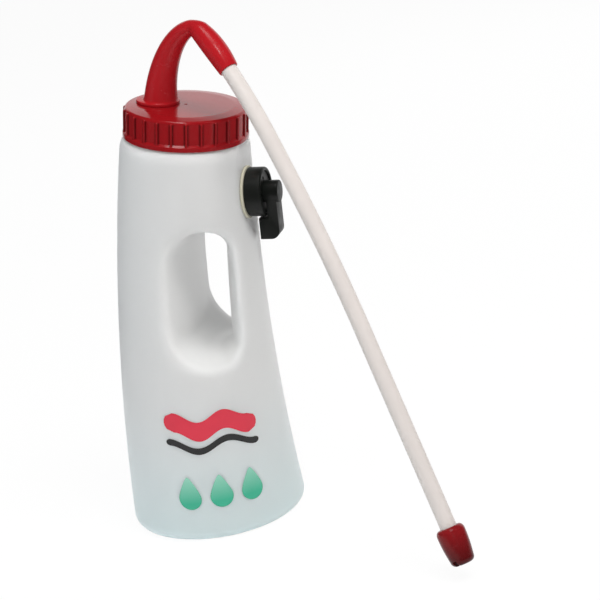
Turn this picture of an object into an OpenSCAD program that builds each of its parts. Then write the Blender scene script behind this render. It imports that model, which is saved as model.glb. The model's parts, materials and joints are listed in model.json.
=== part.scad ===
// Livestock drencher. A tapered bottle with a gentle bend carries a hand hole, a screw cap with
// a swan-neck spout, a long drench tube with a bulb tip, and a rotary air valve on its back wall.
// The base centre is the origin and stands on z = 0. The valve side is +X and the hand hole
// runs along Y. The bottle is drawn straight, in sideways, across and upward coordinates
// (u, v, s), and every point of it is then carried onto the bent axis.

/* [Bottle] */
// Height of the neck seat above the base, along the bent axis
body_h = 288; // [270:1:320]
// Outer radius of the body at the base
base_r = 64.3; // [60:0.1:72]
// Outer radius of the body just under the shoulder
shoulder_r = 47.5; // [46.5:0.1:52]
// Height of the rounded shoulder
shoulder_h = 11; // [8:0.5:16]
// Lean of the neck towards the valve side, in degrees
neck_lean = 10; // [4:0.5:13]
// Sideways shift of the neck from the base centre
neck_offset = 22.7; // [14:0.1:28]
// Step from the shoulder's radius in to the neck
neck_step = 7.5; // [6.5:0.1:10]
// Wall thickness of the blow-moulded shell
wall = 2; // [1.4:0.1:2.6]
// Rounding of the corner at the base
foot_round = 6; // [4:0.5:9]
// Rise of the hollow under the base
base_rise = 2.5; // [1:0.1:4]

/* [Hand hole] */
// Front wall of the hole at mid depth, from the bottle's axis
hole_near = 1; // [-4:0.5:6]
// Back wall of the hole at mid depth, from the bottle's axis
hole_far = 30; // [26:0.5:33]
// Drop of the hole's top below the neck seat, at mid depth
hole_drop = 65; // [62:1:88]
// Height of the hole at mid depth
hole_h = 90; // [80:1:105]
// Fall-back of the front wall at the mouth of the recess
flare_near = 5; // [2:0.5:9]
// Fall-back of the back wall at the mouth of the recess
flare_far = 66; // [50:1:75]
// Drop of the lower wall at the mouth of the recess
flare_low = 7; // [3:0.5:12]
// Rise of the upper wall at the mouth of the recess
flare_high = 19; // [8:0.5:21]

/* [Cap] */
// Thickness of the cap's side at its rim
cap_side = 4; // [3:0.1:5.5]
// Height of the cap
cap_h = 22; // [20:0.1:26]
// Thickness of the cap's top plate
cap_plate = 2.6; // [2:0.1:3.4]
// Height of the rounded edge round the cap's top
crown_h = 1.6; // [1.2:0.1:4]
// Width of the rounded edge round the cap's top
crown_w = 5.4; // [3:0.1:7]
// Depth of the panels between the grip ribs
panel_depth = 1.5; // [0.8:0.1:1.8]
// Number of grip ribs
rib_count = 26; // [18:1:32]
// Width of a grip rib
rib_w = 2.3; // [1.8:0.1:3]
// Turn of the first grip rib, in degrees
rib_turn = -3.7; // [-7:0.1:7]

/* [Spout] */
// Space between the spout's lock ring and the neck's bore
spout_margin = 3.3; // [2:0.1:6]
// Turn of the hook about its seat, in degrees
hook_turn = -28; // [-40:1:-15]
// Radius of the spout's seat flange
flange_r = 15.6; // [14:0.1:17]
// Radius of the hook at its foot
hook_foot_r = 12; // [10.5:0.1:13]
// Radius of the hook at its bend
hook_bend_r = 5.5; // [5.2:0.1:6.5]
// Fullness of the hook's arm between bend and mouth
hook_arm_r = 9.5; // [8.5:0.1:11]
// Radius of the hook at its mouth
hook_mouth_r = 7.1; // [6.9:0.1:8]
// Height of the bend's inner corner above the cap
hook_rise = 54; // [50:0.5:60]
// Reach of the bend's inner corner from the seat
hook_bend_reach = 35.3; // [30:0.1:38]
// Reach of the hook's mouth from its seat
hook_mouth_reach = 68.7; // [64:0.1:74]
// Height of the hook's mouth above the cap
hook_mouth_h = 36.9; // [33:0.1:41]
// Turn of the mouth from straight up, in degrees
hook_mouth_turn = 132.53; // [128:0.01:138]

/* [Drench tube] */
// Outer radius of the tube
tube_r = 5.8; // [5.4:0.1:6]
// Bore radius of the tube
tube_bore_r = 4.3; // [3.5:0.1:4.6]
// Depth of the tube in the hook's mouth
tube_grip = 16; // [12:0.5:18]
// Bend of the tube below the mouth, in degrees
upper_bend = 8.1; // [6:0.1:9]
// Length of the bend below the mouth
upper_bend_len = 58; // [48:0.1:66]
// Straight length between the two bends
mid_len = 26.6; // [18:0.1:36]
// Slow bend along the middle of the tube, in degrees
lower_bend = 5.7; // [4:0.1:7]
// Length of the slow bend
lower_bend_len = 118.2; // [100:0.1:130]
// Amount by which the straight end of the tube is shorter than the bottle is high
end_short = 144.8; // [138:0.1:164]

/* [Tip] */
// Length of the bulb tip
tip_len = 26.4; // [24:0.1:32]
// Largest radius of the tip
tip_r = 10; // [9:0.1:11]
// Radius of the tip near its end
tip_end_r = 8.4; // [7.4:0.1:9]
// Radius of the outlet bore
outlet_r = 3.6; // [2.5:0.1:4]
// Width of the notch across the outlet
notch_w = 3.4; // [2:0.1:4]

/* [Air valve] */
// Drop of the valve below the neck seat, along the bent axis
valve_drop = 38.4; // [32:0.1:42]
// Downward tilt of the valve's axis, in degrees
valve_tilt = 3; // [1:0.1:6]
// Depth of the flat valve seat in the wall
seat_depth = 4.2; // [3.6:0.1:5]
// Radius of the valve's drum
drum_r = 17.6; // [16.5:0.1:18.5]
// Thickness of the drum
drum_t = 12.4; // [11:0.1:14]
// Depth of the recess in the drum's face
drum_recess = 3.6; // [2.8:0.1:4.2]
// Thickness of the sealing gasket
gasket_t = 2; // [1.4:0.1:2.6]
// Radius of the spigot through the bottle's wall
spigot_r = 12; // [11:0.1:12.6]
// Radius of the lever's hub
hub_r = 8; // [7:0.1:8.1]
// Length of the lever from its axis
lever_len = 33.6; // [31:0.1:42]
// Width of the lever
lever_w = 13.5; // [10:0.1:14]
// Height of the hub's face in front of the drum
lever_rise = 9.9; // [7:0.1:11]
// Radius of the valve stem
stem_r = 3.5; // [3:0.1:3.8]

/* [Hidden] */
$fn = 64;

// Clearances and cutting overrun
fit_gap = 0.05;
slip_gap = 0.1;
face_gap = 0.3;
overrun = 6;

// Steps of the lofted walls
ring_steps = 48;
foot_steps = 3;
side_steps = 10;
shoulder_steps = 4;
hole_steps = 12;
corner_steps = 6;
corner_round_share = 0.85;

// Bottle axis, shoulder and foot
axis_slope = 2 * neck_offset / body_h - tan(neck_lean);
axis_curve = (tan(neck_lean) - axis_slope) / (2 * body_h);
shoulder_s = body_h - shoulder_h;
shoulder_flat = 2;
neck_r = shoulder_r - neck_step;
shoulder_top_r = neck_r + shoulder_flat;
foot_lift = 0.6;
foot_ring_w = 10;
foot_r = base_r - foot_round;
cavity_floor = base_rise + wall;
hole_reach = base_r;
hole_high = body_h - hole_drop;
hole_low = hole_high - hole_h;

// Cap stack above the neck seat
cap_lift_gap = 0.8;
seal_t = 2.4;
seal_w = 4.6;
thread_gap = 1;
cap_top = cap_lift_gap + cap_h;
cap_ceiling = cap_top - cap_plate;
neck_h = cap_ceiling - face_gap - seal_t;
cap_bore_r = neck_r + thread_gap;
cap_r = cap_bore_r + cap_side;
rim_h = 3;
panel_slope = 0.8;
panel_r = cap_r - panel_depth;
crown_z = cap_top - crown_h;
rib_drop = 0.25;
rib_over = 0.8;
rim_drop = 0.6;
crown_steps = 6;
gate_r = 1.2;
gate_depth = 0.5;

// Spout seat and passage
flange_t = 2.2;
spout_spigot_r = 11;
spout_bore_r = 8;
lock_ring_t = 3;
lock_ring_w = 3;
lock_ring_r = spout_spigot_r + slip_gap + lock_ring_w;
spout_offset = neck_r - wall - lock_ring_r - spout_margin;
spout_tail = 1.5;
spout_spigot_len = cap_plate + lock_ring_t + spout_tail;
spout_wall = 2.6;
oring_r = 0.75;
hook_foot_share = 0.9;
hook_foot_shift = 2.8;
foot_turn = 1;
leg_turn = 68.7;
leg_low_pull = 25.9;
leg_high_pull = 18.7;
leg_mid_r = 8.6;
bend_gap = 0.4;
bend_mid_r = 5;
arm_start_r = 6.8;
hook_sides = 28;
passage_sides = 16;
leg_steps = 12;
bend_steps = 8;
arm_steps = 8;
mouth_lip = 0.7;
foot_point = [hook_foot_shift, flange_t * hook_foot_share];
bend_corner = [hook_bend_reach, hook_rise];
mouth_point = [hook_mouth_reach, hook_mouth_h];
bend_start = bend_corner + side(leg_turn) * (hook_bend_r + bend_gap);
leg_curve = [
  foot_point,
  foot_point + ahead(foot_turn) * leg_low_pull,
  bend_start - ahead(leg_turn) * leg_high_pull,
  bend_start
];
arm_under = mouth_point - side(hook_mouth_turn) * hook_mouth_r - bend_corner;
arm_turn = atan2(arm_under[0], arm_under[1]);

// Steps of the tube's wall
tube_sides = 28;
end_len = body_h - end_short;
upper_steps = 6;
lower_steps = 6;

// Tip outline
tip_grip = 16;
tip_lip = 1.2;
tip_shoulder_share = 0.16;
tip_taper_share = 0.86;
tip_steps = 6;
notch_depth = 4;

// Valve stack, measured outward from the valve seat
seat_wall = 2.5;
seat_margin = 0.5;
gasket_lip = 1.2;
gasket_r = drum_r + gasket_lip;
seat_r = gasket_r + seat_margin;
seat_up = 22;
seat_down = 26;
seat_ramp = 5;
valve_s = body_h - valve_drop;
seat_u = body_r(valve_s) - seat_depth;
valve_hole_gap = 0.15;
nut_t = 6;
nut_r = 17;
spigot_tail = 1.5;
spigot_end = -(seat_wall + nut_t + spigot_tail);
drum_rim_w = 2.6;
recess_r = drum_r - drum_rim_w;
drum_face = gasket_t + drum_t;
drum_floor = drum_face - drum_recess;
plate_gap = 0.15;
plate_t = 1.9;
plate_margin = 0.5;
plate_top = drum_floor + plate_gap + plate_t;
port_ring_r = 9.8;
port_rs = [1.0, 1.4, 1.7];
port_turns = [-90, 0, 90];
lever_gap = 0.6;
lever_back = 8.4;
lever_waist = 1.6;
lever_clear = 0.6;
lever_round = 6.2;
hub_face = drum_face + lever_rise;
lever_face = hub_face - lever_waist;
stem_groove_s = 4;
stem_oring_r = 0.85;
washer_t = 0.7;
washer_rise = 1;
washer_w = 3;
clip_t = 1;
clip_w = 2.4;
groove_depth = 0.7;
washer_top = spigot_end - face_gap;
clip_top = washer_top - washer_t - washer_rise - fit_gap;
stem_tail = 1.5;
stem_end = clip_top - clip_t - stem_tail;

function axis_x(s) = axis_slope * s + axis_curve * s * s;
function lean(s) = neck_lean * s / body_h;
function bent(u, v, s) = [axis_x(s) + u * cos(lean(s)), v, s - u * sin(lean(s))];
function body_r(s) = base_r + (shoulder_r - base_r) * (s - foot_round) / (shoulder_s - foot_round);

// Outline of the body, moved inwards by inset, as radius and height from floor to shoulder
function body_outline(inset, floor_s) = concat(
  [for (k = [0 : foot_steps])
    let (a = 90 * k / foot_steps, c = foot_round - inset, s = floor_s + c * (1 - cos(a)))
    [body_r(s) - inset - c * (1 - sin(a)), s]],
  [for (k = [1 : side_steps - 1])
    let (s = foot_round + floor_s + (shoulder_s - foot_round - floor_s) * k / side_steps)
    [body_r(s) - inset, s]],
  [for (k = [0 : shoulder_steps])
    let (a = 90 * k / shoulder_steps, r = shoulder_r - inset)
    [shoulder_top_r + (r - shoulder_top_r) * cos(a), shoulder_s + (shoulder_h - inset) * sin(a)]]
);

// Outline of the hand hole at depth v, grown by grow, as a rounded frame of u and s
function hole_outline(v, grow) =
  let (
    t = pow(v / hole_reach, 2),
    near = hole_near - flare_near * t - grow,
    far = hole_far + flare_far * t + grow,
    low = hole_low - flare_low * t - grow,
    high = hole_high + flare_high * t + grow,
    c = corner_round_share * (far - near) / 2
  )
  [for (q = [0 : 3]) for (k = [0 : corner_steps])
    let (
      a = 90 * q + 90 * k / corner_steps,
      cu = (q == 0 || q == 3) ? far - c : near + c,
      cs = (q < 2) ? high - c : low + c
    )
    [cu + c * cos(a), cs + c * sin(a)]];

// Point and direction on a cubic curve, and a value on a quadratic one
function cubic(p, t) =
  pow(1 - t, 3) * p[0] + 3 * t * pow(1 - t, 2) * p[1] + 3 * t * t * (1 - t) * p[2] + pow(t, 3) * p[3];
function heading(p, t) =
  let (d = pow(1 - t, 2) * (p[1] - p[0]) + 2 * t * (1 - t) * (p[2] - p[1]) + t * t * (p[3] - p[2]))
  d / norm(d);
function quadratic(r, t) = pow(1 - t, 2) * r[0] + 2 * t * (1 - t) * r[1] + t * t * r[2];

// Direction at a turn from straight up, and the direction to the left of it
function ahead(a) = [sin(a), cos(a)];
function side(a) = [-cos(a), sin(a)];

// Rings of the hook from its foot to its mouth, each a centre, a heading and a radius. The bend's
// rings fan about its inner corner and the arm's rings stand on its straight underside
hook_rings = concat(
  [for (k = [0 : leg_steps - 1])
    let (t = k / leg_steps)
    [cubic(leg_curve, t), heading(leg_curve, t), quadratic([hook_foot_r, leg_mid_r, hook_bend_r], t)]],
  [for (k = [0 : bend_steps - 1])
    let (
      t = k / bend_steps,
      a = leg_turn + (arm_turn - leg_turn) * t,
      r = quadratic([hook_bend_r, bend_mid_r, arm_start_r], t)
    )
    [bend_corner + side(a) * (r + bend_gap), ahead(a), r]],
  [for (k = [0 : arm_steps])
    let (
      t = k / arm_steps,
      a = arm_turn + (hook_mouth_turn - arm_turn) * t,
      r = quadratic([arm_start_r, hook_arm_r, hook_mouth_r], t)
    )
    [bend_corner + arm_under * t + side(a) * (r + bend_gap * (1 - t)), ahead(a), r]]
);
hook_heading = ahead(hook_mouth_turn);
hook_edge = [mouth_point + hook_heading * mouth_lip, hook_heading, hook_mouth_r - mouth_lip];
hook_skin = concat(hook_rings, [hook_edge]);

// Stops along the tube in the mouth frame, each a point of X and Z and the turn towards -X there
function turned(p, a) = [p[0] * cos(a) - p[1] * sin(a), p[0] * sin(a) + p[1] * cos(a)];
function on_bend(angle, length, t) =
  let (r = length * 180 / (angle * PI))
  [-r * (1 - cos(angle * t)), r * sin(angle * t)];
slow_bend_point = on_bend(upper_bend, upper_bend_len, 1) + turned([0, mid_len], upper_bend);
tip_point = slow_bend_point + turned(on_bend(lower_bend, lower_bend_len, 1), upper_bend)
  + turned([0, end_len], upper_bend + lower_bend);
function tube_stops(extra) = concat(
  [[[0, face_gap - tube_grip - extra], 0]],
  [for (k = [0 : upper_steps])
    let (t = k / upper_steps)
    [on_bend(upper_bend, upper_bend_len, t), upper_bend * t]],
  [for (k = [0 : lower_steps])
    let (t = k / lower_steps, p = on_bend(lower_bend, lower_bend_len, t))
    [slow_bend_point + turned(p, upper_bend), upper_bend + lower_bend * t]],
  [[
    tip_point + turned([0, tip_grip - face_gap + extra], upper_bend + lower_bend),
    upper_bend + lower_bend
  ]]
);

// Closed wall through rows of points, each row a ring with the same number of points
module loft(rows) {
  sides = len(rows[0]);
  last = len(rows) - 1;
  polyhedron(
    points = [for (row = rows) each row],
    faces = concat(
      [[for (j = [0 : sides - 1]) j]],
      [for (i = [0 : last - 1]) for (j = [0 : sides - 1])
        let (n = (j + 1) % sides) each
        [[i * sides + j, (i + 1) * sides + j, (i + 1) * sides + n],
         [i * sides + j, (i + 1) * sides + n, i * sides + n]]],
      [[for (j = [sides - 1 : -1 : 0]) last * sides + j]]
    )
  );
}

module bent_body(inset, floor_s) {
  loft([for (p = body_outline(inset, floor_s))
    [for (j = [0 : ring_steps - 1])
      let (a = 360 * j / ring_steps)
      bent(p[0] * cos(a), p[0] * sin(a), p[1])]]);
}

module hand_hole(grow) {
  loft([for (k = [hole_steps : -1 : -hole_steps])
    let (v = hole_reach * k / hole_steps)
    [for (p = hole_outline(v, grow)) bent(p[0], v, p[1])]]);
}

module hook_loft(rings, sides, inset) {
  loft([for (ring = rings)
    [for (j = [0 : sides - 1])
      let (a = 360 * j / sides, r = ring[2] - inset)
      [ring[0][0] + r * cos(a) * ring[1][1], r * sin(a), ring[0][1] - r * cos(a) * ring[1][0]]]]);
}

module tube_loft(r, extra) {
  loft([for (stop = tube_stops(extra))
    [for (j = [0 : tube_sides - 1])
      let (a = 360 * j / tube_sides, p = stop[0] + turned([r * cos(a), 0], stop[1]))
      [p[0], r * sin(a), p[1]]]]);
}

// Frames: the neck seat, the spout's seat on the cap, the hook's mouth, the tip and the valve seat
module at_neck() {
  translate([neck_offset, 0, body_h]) rotate([0, neck_lean, 0]) children();
}

module at_spout() {
  at_neck() translate([-spout_offset, 0, cap_top]) rotate([0, 0, hook_turn]) children();
}

// The mouth frame runs down the tube, with the bottle on its -X side
module at_mouth() {
  at_spout() translate([mouth_point[0], 0, mouth_point[1]])
    rotate([0, hook_mouth_turn, 0]) rotate([0, 0, 180]) children();
}

module at_tip() {
  at_mouth() translate([tip_point[0], 0, tip_point[1]]) rotate([0, -upper_bend - lower_bend, 0]) children();
}

module at_valve() {
  translate(bent(seat_u, 0, valve_s)) rotate([0, 90 + valve_tilt, 0]) children();
}

module disc(r, low, high) {
  translate([0, 0, low]) cylinder(r = r, h = high - low);
}

module ring(outer_r, inner_r, low, high) {
  difference() {
    disc(outer_r, low, high);
    disc(inner_r, low - overrun, high + overrun);
  }
}

module torus(mid_r, section_r) {
  rotate_extrude() translate([mid_r, 0]) circle(r = section_r);
}

// Room cut for the valve's flat seat, moved inwards by inset: it is open to the shoulder and runs out
// of the wall below the seat
module seat_room(grow, inset) {
  at_valve() hull() {
    translate([-seat_up, 0, 0]) disc(seat_r + grow, -inset, seat_r);
    disc(seat_r + grow, -inset, seat_r);
    translate([seat_down, 0, 0]) disc(seat_r + grow, seat_ramp - inset, seat_r);
  }
}

module bottle() {
  color("whitesmoke") difference() {
    union() {
      bent_body(0, foot_lift);
      disc(foot_r, 0, foot_lift + wall);
      at_neck() disc(neck_r, -wall / 2, neck_h);
    }
    difference() {
      bent_body(wall, cavity_floor);
      hand_hole(wall);
      seat_room(wall, seat_wall);
    }
    hand_hole(0);
    disc(foot_r - foot_ring_w, -overrun, base_rise);
    at_neck() disc(neck_r - wall, -2 * wall, neck_h + overrun);
    seat_room(0, 0);
    at_valve() disc(spigot_r + valve_hole_gap, -seat_wall - overrun, overrun);
  }
}

module screw_cap() {
  color("firebrick") at_neck() difference() {
    union() {
      rotate_extrude() polygon(concat(
        [
          [0, cap_lift_gap],
          [cap_bore_r, cap_lift_gap],
          [cap_r, cap_lift_gap - rim_drop],
          [cap_r, cap_lift_gap + rim_h],
          [panel_r, cap_lift_gap + rim_h + panel_slope]
        ],
        [for (k = [0 : crown_steps])
          let (a = 90 * k / crown_steps)
          [panel_r - crown_w * (1 - cos(a)), crown_z + crown_h * sin(a)]],
        [[0, cap_top]]
      ));
      for (k = [0 : rib_count - 1])
        rotate([0, 0, rib_turn + 360 * k / rib_count]) translate([cap_r - rib_drop - rib_w / 2, 0, 0])
          disc(rib_w / 2, cap_lift_gap + rim_h / 2, crown_z + rib_over);
    }
    disc(cap_bore_r, -overrun, cap_ceiling);
    disc(gate_r, cap_top - gate_depth, cap_top + overrun);
    translate([-spout_offset, 0, 0]) disc(spout_spigot_r + slip_gap, 0, cap_top + overrun);
  }
}

module cap_seal() {
  seal_r = neck_r + thread_gap / 2;
  color("ivory") at_neck() ring(seal_r, seal_r - seal_w, neck_h, neck_h + seal_t);
}

module spout() {
  color("firebrick") difference() {
    union() {
      at_spout() hook_loft(hook_skin, hook_sides, 0);
      at_spout() disc(flange_r, 0, flange_t);
      at_spout() disc(spout_spigot_r, -spout_spigot_len, flange_t / 2);
    }
    at_spout() hook_loft(hook_rings, passage_sides, spout_wall);
    at_spout() disc(spout_bore_r, -spout_spigot_len - overrun, flange_t);
    at_mouth() disc(tube_r + fit_gap, -tube_grip, overrun);
    at_spout() translate([0, 0, -cap_plate / 2])
      ring(spout_spigot_r + overrun, spout_spigot_r - 2 * oring_r, -oring_r - fit_gap, oring_r + fit_gap);
  }
}

module spout_oring() {
  color("dimgray") at_spout() translate([0, 0, -cap_plate / 2])
    torus(spout_spigot_r + fit_gap - oring_r, oring_r);
}

module spout_lock_ring() {
  color("firebrick") at_spout()
    ring(lock_ring_r, lock_ring_r - lock_ring_w, -cap_plate - lock_ring_t, -cap_plate);
}

module drench_tube() {
  color("white") at_mouth() difference() {
    tube_loft(tube_r, 0);
    tube_loft(tube_bore_r, overrun);
  }
}

module tip() {
  shoulder_r = tube_r + tip_lip;
  shoulder_z = tip_len * tip_shoulder_share;
  taper_z = tip_len * tip_taper_share;
  end_r = outlet_r + tip_lip;
  color("firebrick") at_tip() difference() {
    rotate_extrude() polygon(concat(
      [[0, 0]],
      [for (k = [0 : tip_steps])
        let (a = 90 * k / tip_steps)
        [shoulder_r + (tip_r - shoulder_r) * sin(a), shoulder_z * (1 - cos(a))]],
      [for (k = [0 : tip_steps])
        let (a = 90 * k / tip_steps)
        [end_r + (tip_end_r - end_r) * cos(a), taper_z + (tip_len - taper_z) * sin(a)]],
      [[0, tip_len]]
    ));
    disc(tube_r + fit_gap, -overrun, tip_grip);
    disc(outlet_r, 0, tip_len + overrun);
    translate([-notch_w / 2, -tip_r, tip_len - notch_depth]) cube([notch_w, 2 * tip_r, tip_len]);
  }
}

module valve_gasket() {
  color("lightyellow") at_valve() ring(gasket_r, spigot_r + slip_gap, 0, gasket_t);
}

module valve_body() {
  color("black") at_valve() difference() {
    union() {
      disc(drum_r, gasket_t, drum_face);
      disc(spigot_r, spigot_end, gasket_t + drum_t / 2);
    }
    disc(recess_r, drum_floor, drum_face + overrun);
    disc(stem_r + fit_gap, spigot_end - overrun, drum_face);
    translate([0, 0, stem_groove_s])
      disc(stem_r + fit_gap + 2 * stem_oring_r, -stem_oring_r - fit_gap, stem_oring_r + fit_gap);
    translate([-port_ring_r, 0, 0]) disc(max(port_rs), spigot_end - overrun, drum_face);
  }
}

module valve_nut() {
  color("black") at_valve() difference() {
    translate([0, 0, -seat_wall - nut_t]) cylinder(r = nut_r, h = nut_t, $fn = 6);
    disc(spigot_r + slip_gap, -seat_wall - nut_t - overrun, overrun);
  }
}

// Side outline of the lever: a neck over the drum's rim and a deeper paddle below it
module lever_outline() {
  step_x = drum_r + lever_clear;
  polygon(concat(
    [[0, drum_face + lever_gap], [0, lever_face]],
    [for (k = [0 : tip_steps])
      let (a = 90 * k / tip_steps)
      [lever_len - lever_round + lever_round * sin(a), lever_face - lever_round + lever_round * cos(a)]],
    [[lever_len, lever_back], [step_x, lever_back], [step_x, drum_face + lever_gap]]
  ));
}

module valve_lever() {
  color("black") at_valve() difference() {
    union() {
      disc(hub_r, plate_top, hub_face);
      translate([0, lever_w / 2, 0]) rotate([90, 0, 0]) linear_extrude(lever_w) lever_outline();
      disc(stem_r, stem_end, plate_top + plate_t);
    }
    ring(stem_r + overrun, stem_r - groove_depth, clip_top - clip_t - fit_gap, clip_top + fit_gap);
  }
}

module metering_disc() {
  color("darkslategray") at_valve() difference() {
    ring(recess_r - plate_margin, stem_r + fit_gap, drum_floor + plate_gap, plate_top);
    for (k = [0 : len(port_rs) - 1])
      rotate([0, 0, port_turns[k]]) translate([-port_ring_r, 0, 0])
        disc(port_rs[k], drum_floor - overrun, plate_top + overrun);
  }
}

module stem_oring() {
  color("dimgray") at_valve() translate([0, 0, stem_groove_s])
    torus(stem_r + fit_gap + stem_oring_r, stem_oring_r);
}

// A dished washer that draws the lever and its disc onto the drum's floor
module spring_washer() {
  inner_r = stem_r + fit_gap;
  outer_r = inner_r + washer_w;
  color("silver") at_valve() rotate_extrude() polygon([
    [inner_r, washer_top - washer_rise],
    [outer_r, washer_top],
    [outer_r, washer_top - washer_t],
    [inner_r, washer_top - washer_rise - washer_t]
  ]);
}

module stem_clip() {
  inner_r = stem_r - groove_depth + fit_gap;
  color("silver") at_valve() ring(inner_r + clip_w, inner_r, clip_top - clip_t, clip_top);
}

bottle();
screw_cap();
cap_seal();
spout();
spout_oring();
spout_lock_ring();
drench_tube();
tip();
valve_gasket();
valve_body();
valve_nut();
valve_lever();
metering_disc();
stem_oring();
spring_washer();
stem_clip();
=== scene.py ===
"""Looks of a livestock drencher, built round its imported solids.

Sizes are in metres, in the frame of the solids: the base's centre is the origin, +Z is up, the air
valve is on +X and the hand hole runs along Y. The joints of the frame place the neck and the valve.
"""

import json
import logging
import math
from dataclasses import dataclass, field
from enum import Enum
from typing import Iterable, Sequence

import bmesh
import bpy
from mathutils import Matrix, Vector
from mathutils.kdtree import KDTree


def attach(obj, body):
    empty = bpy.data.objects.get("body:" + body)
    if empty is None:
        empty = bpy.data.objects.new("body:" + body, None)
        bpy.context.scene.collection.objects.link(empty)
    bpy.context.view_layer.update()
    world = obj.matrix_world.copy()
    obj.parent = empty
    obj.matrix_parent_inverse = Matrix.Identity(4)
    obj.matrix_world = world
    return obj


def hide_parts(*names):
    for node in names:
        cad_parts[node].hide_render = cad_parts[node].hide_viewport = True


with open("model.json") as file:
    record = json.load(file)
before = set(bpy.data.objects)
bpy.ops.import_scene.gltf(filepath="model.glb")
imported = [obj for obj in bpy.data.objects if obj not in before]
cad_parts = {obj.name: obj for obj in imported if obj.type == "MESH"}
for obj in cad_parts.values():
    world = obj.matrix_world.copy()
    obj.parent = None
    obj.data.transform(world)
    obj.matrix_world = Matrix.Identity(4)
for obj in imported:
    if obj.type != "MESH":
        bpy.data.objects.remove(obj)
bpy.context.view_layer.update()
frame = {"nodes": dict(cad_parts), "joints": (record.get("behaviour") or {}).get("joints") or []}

LOG = logging.getLogger("drencher")
# Mesh layer that holds the painted shade beside the cap's ribs.
CORNER_SHADE_LAYER = "corner"
MERGE_DISTANCE = 1e-6
CLOSING_DISTANCE = 10 * MERGE_DISTANCE
CREASE_ANGLE = math.radians(38)
RING_STEPS = 48
HOLE_STEPS = 64
SOFT_STEPS = 3
PATCH_DETAIL = 3.0
GRAIN_DETAIL = 4.0
GRAIN_RANGE = (0.3, 0.7)
THREAD_START = 0.0022
BMesh = bmesh.types.BMesh
Tree = bpy.types.NodeTree
Socket = bpy.types.NodeSocket
Colour = tuple[float, float, float]
Place = tuple[float, float, float]
Point = tuple[float, float]
Radii = tuple[float, float, float]
Ring = tuple[Matrix, float]


class Body(Enum):
    """Rigid bodies that the pieces ride on."""

    BOTTLE = "bottle"
    CAP = "cap"
    LEVER = "valve_lever"


class Joint(Enum):
    """Joints that place the neck and the valve."""

    NECK = "cap_turn"
    VALVE = "valve_turn"


class Slot(Enum):
    """Material slots of the record."""

    SHELL = "natural_hdpe"
    RED = "red_plastic"
    WHITE = "white_plastic"
    BLACK = "black_plastic"
    CREAM = "cream_rubber"


class Cut(Enum):
    """Ways to combine two closed meshes."""

    TAKE_AWAY = "DIFFERENCE"
    JOIN = "UNION"


def feed(tree: Tree, made: bpy.types.Node, inputs: dict) -> None:
    """Sets a node's inputs to values, or links them to sockets.

    Args:
        tree: Node tree that holds the node.
        made: The node.
        inputs: Value of each input, or the socket that feeds it.
    """
    for key, value in inputs.items():
        if isinstance(value, Socket):
            tree.links.new(value, made.inputs[key])
        else:
            made.inputs[key].default_value = value


def node(tree: Tree, kind: str, inputs: dict, **settings: str) -> bpy.types.Node:
    """Adds a shader node.

    Args:
        tree: Node tree to add it to.
        kind: Type of the node, without its first words.
        inputs: Value of each input, or the socket that feeds it.
        settings: Properties of the node.

    Returns:
        The node.
    """
    made = tree.nodes.new(f"ShaderNode{kind}")
    for key, value in settings.items():
        setattr(made, key, value)
    feed(tree, made, inputs)
    return made


def blended(tree: Tree, share: Socket, low: "Colour | Socket", high: "Colour | Socket") -> Socket:
    """Mixes two colours, each a value or a socket.

    Args:
        tree: Node tree to add to.
        share: Share of the second colour.
        low: First colour.
        high: Second colour.

    Returns:
        The socket with the mix.
    """
    ends = [end if isinstance(end, Socket) else (*end, 1.0) for end in (low, high)]
    inputs = {"Factor": share, "A": ends[0], "B": ends[1]}
    return node(tree, "Mix", inputs, data_type="RGBA").outputs["Result"]


def height_share(tree: Tree, place: Socket, low: float, high: float, curve: str) -> Socket:
    """Gives the share of the way up from one height to another.

    Args:
        tree: Node tree to add to.
        place: Place on the piece.
        low: Height for 0.
        high: Height for 1.
        curve: How the share runs between them.

    Returns:
        The socket with the share.
    """
    up = node(tree, "SeparateXYZ", {"Vector": place}).outputs["Z"]
    inputs = {"Value": up, "From Min": low, "From Max": high}
    return node(tree, "MapRange", inputs, interpolation_type=curve).outputs["Result"]


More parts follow.
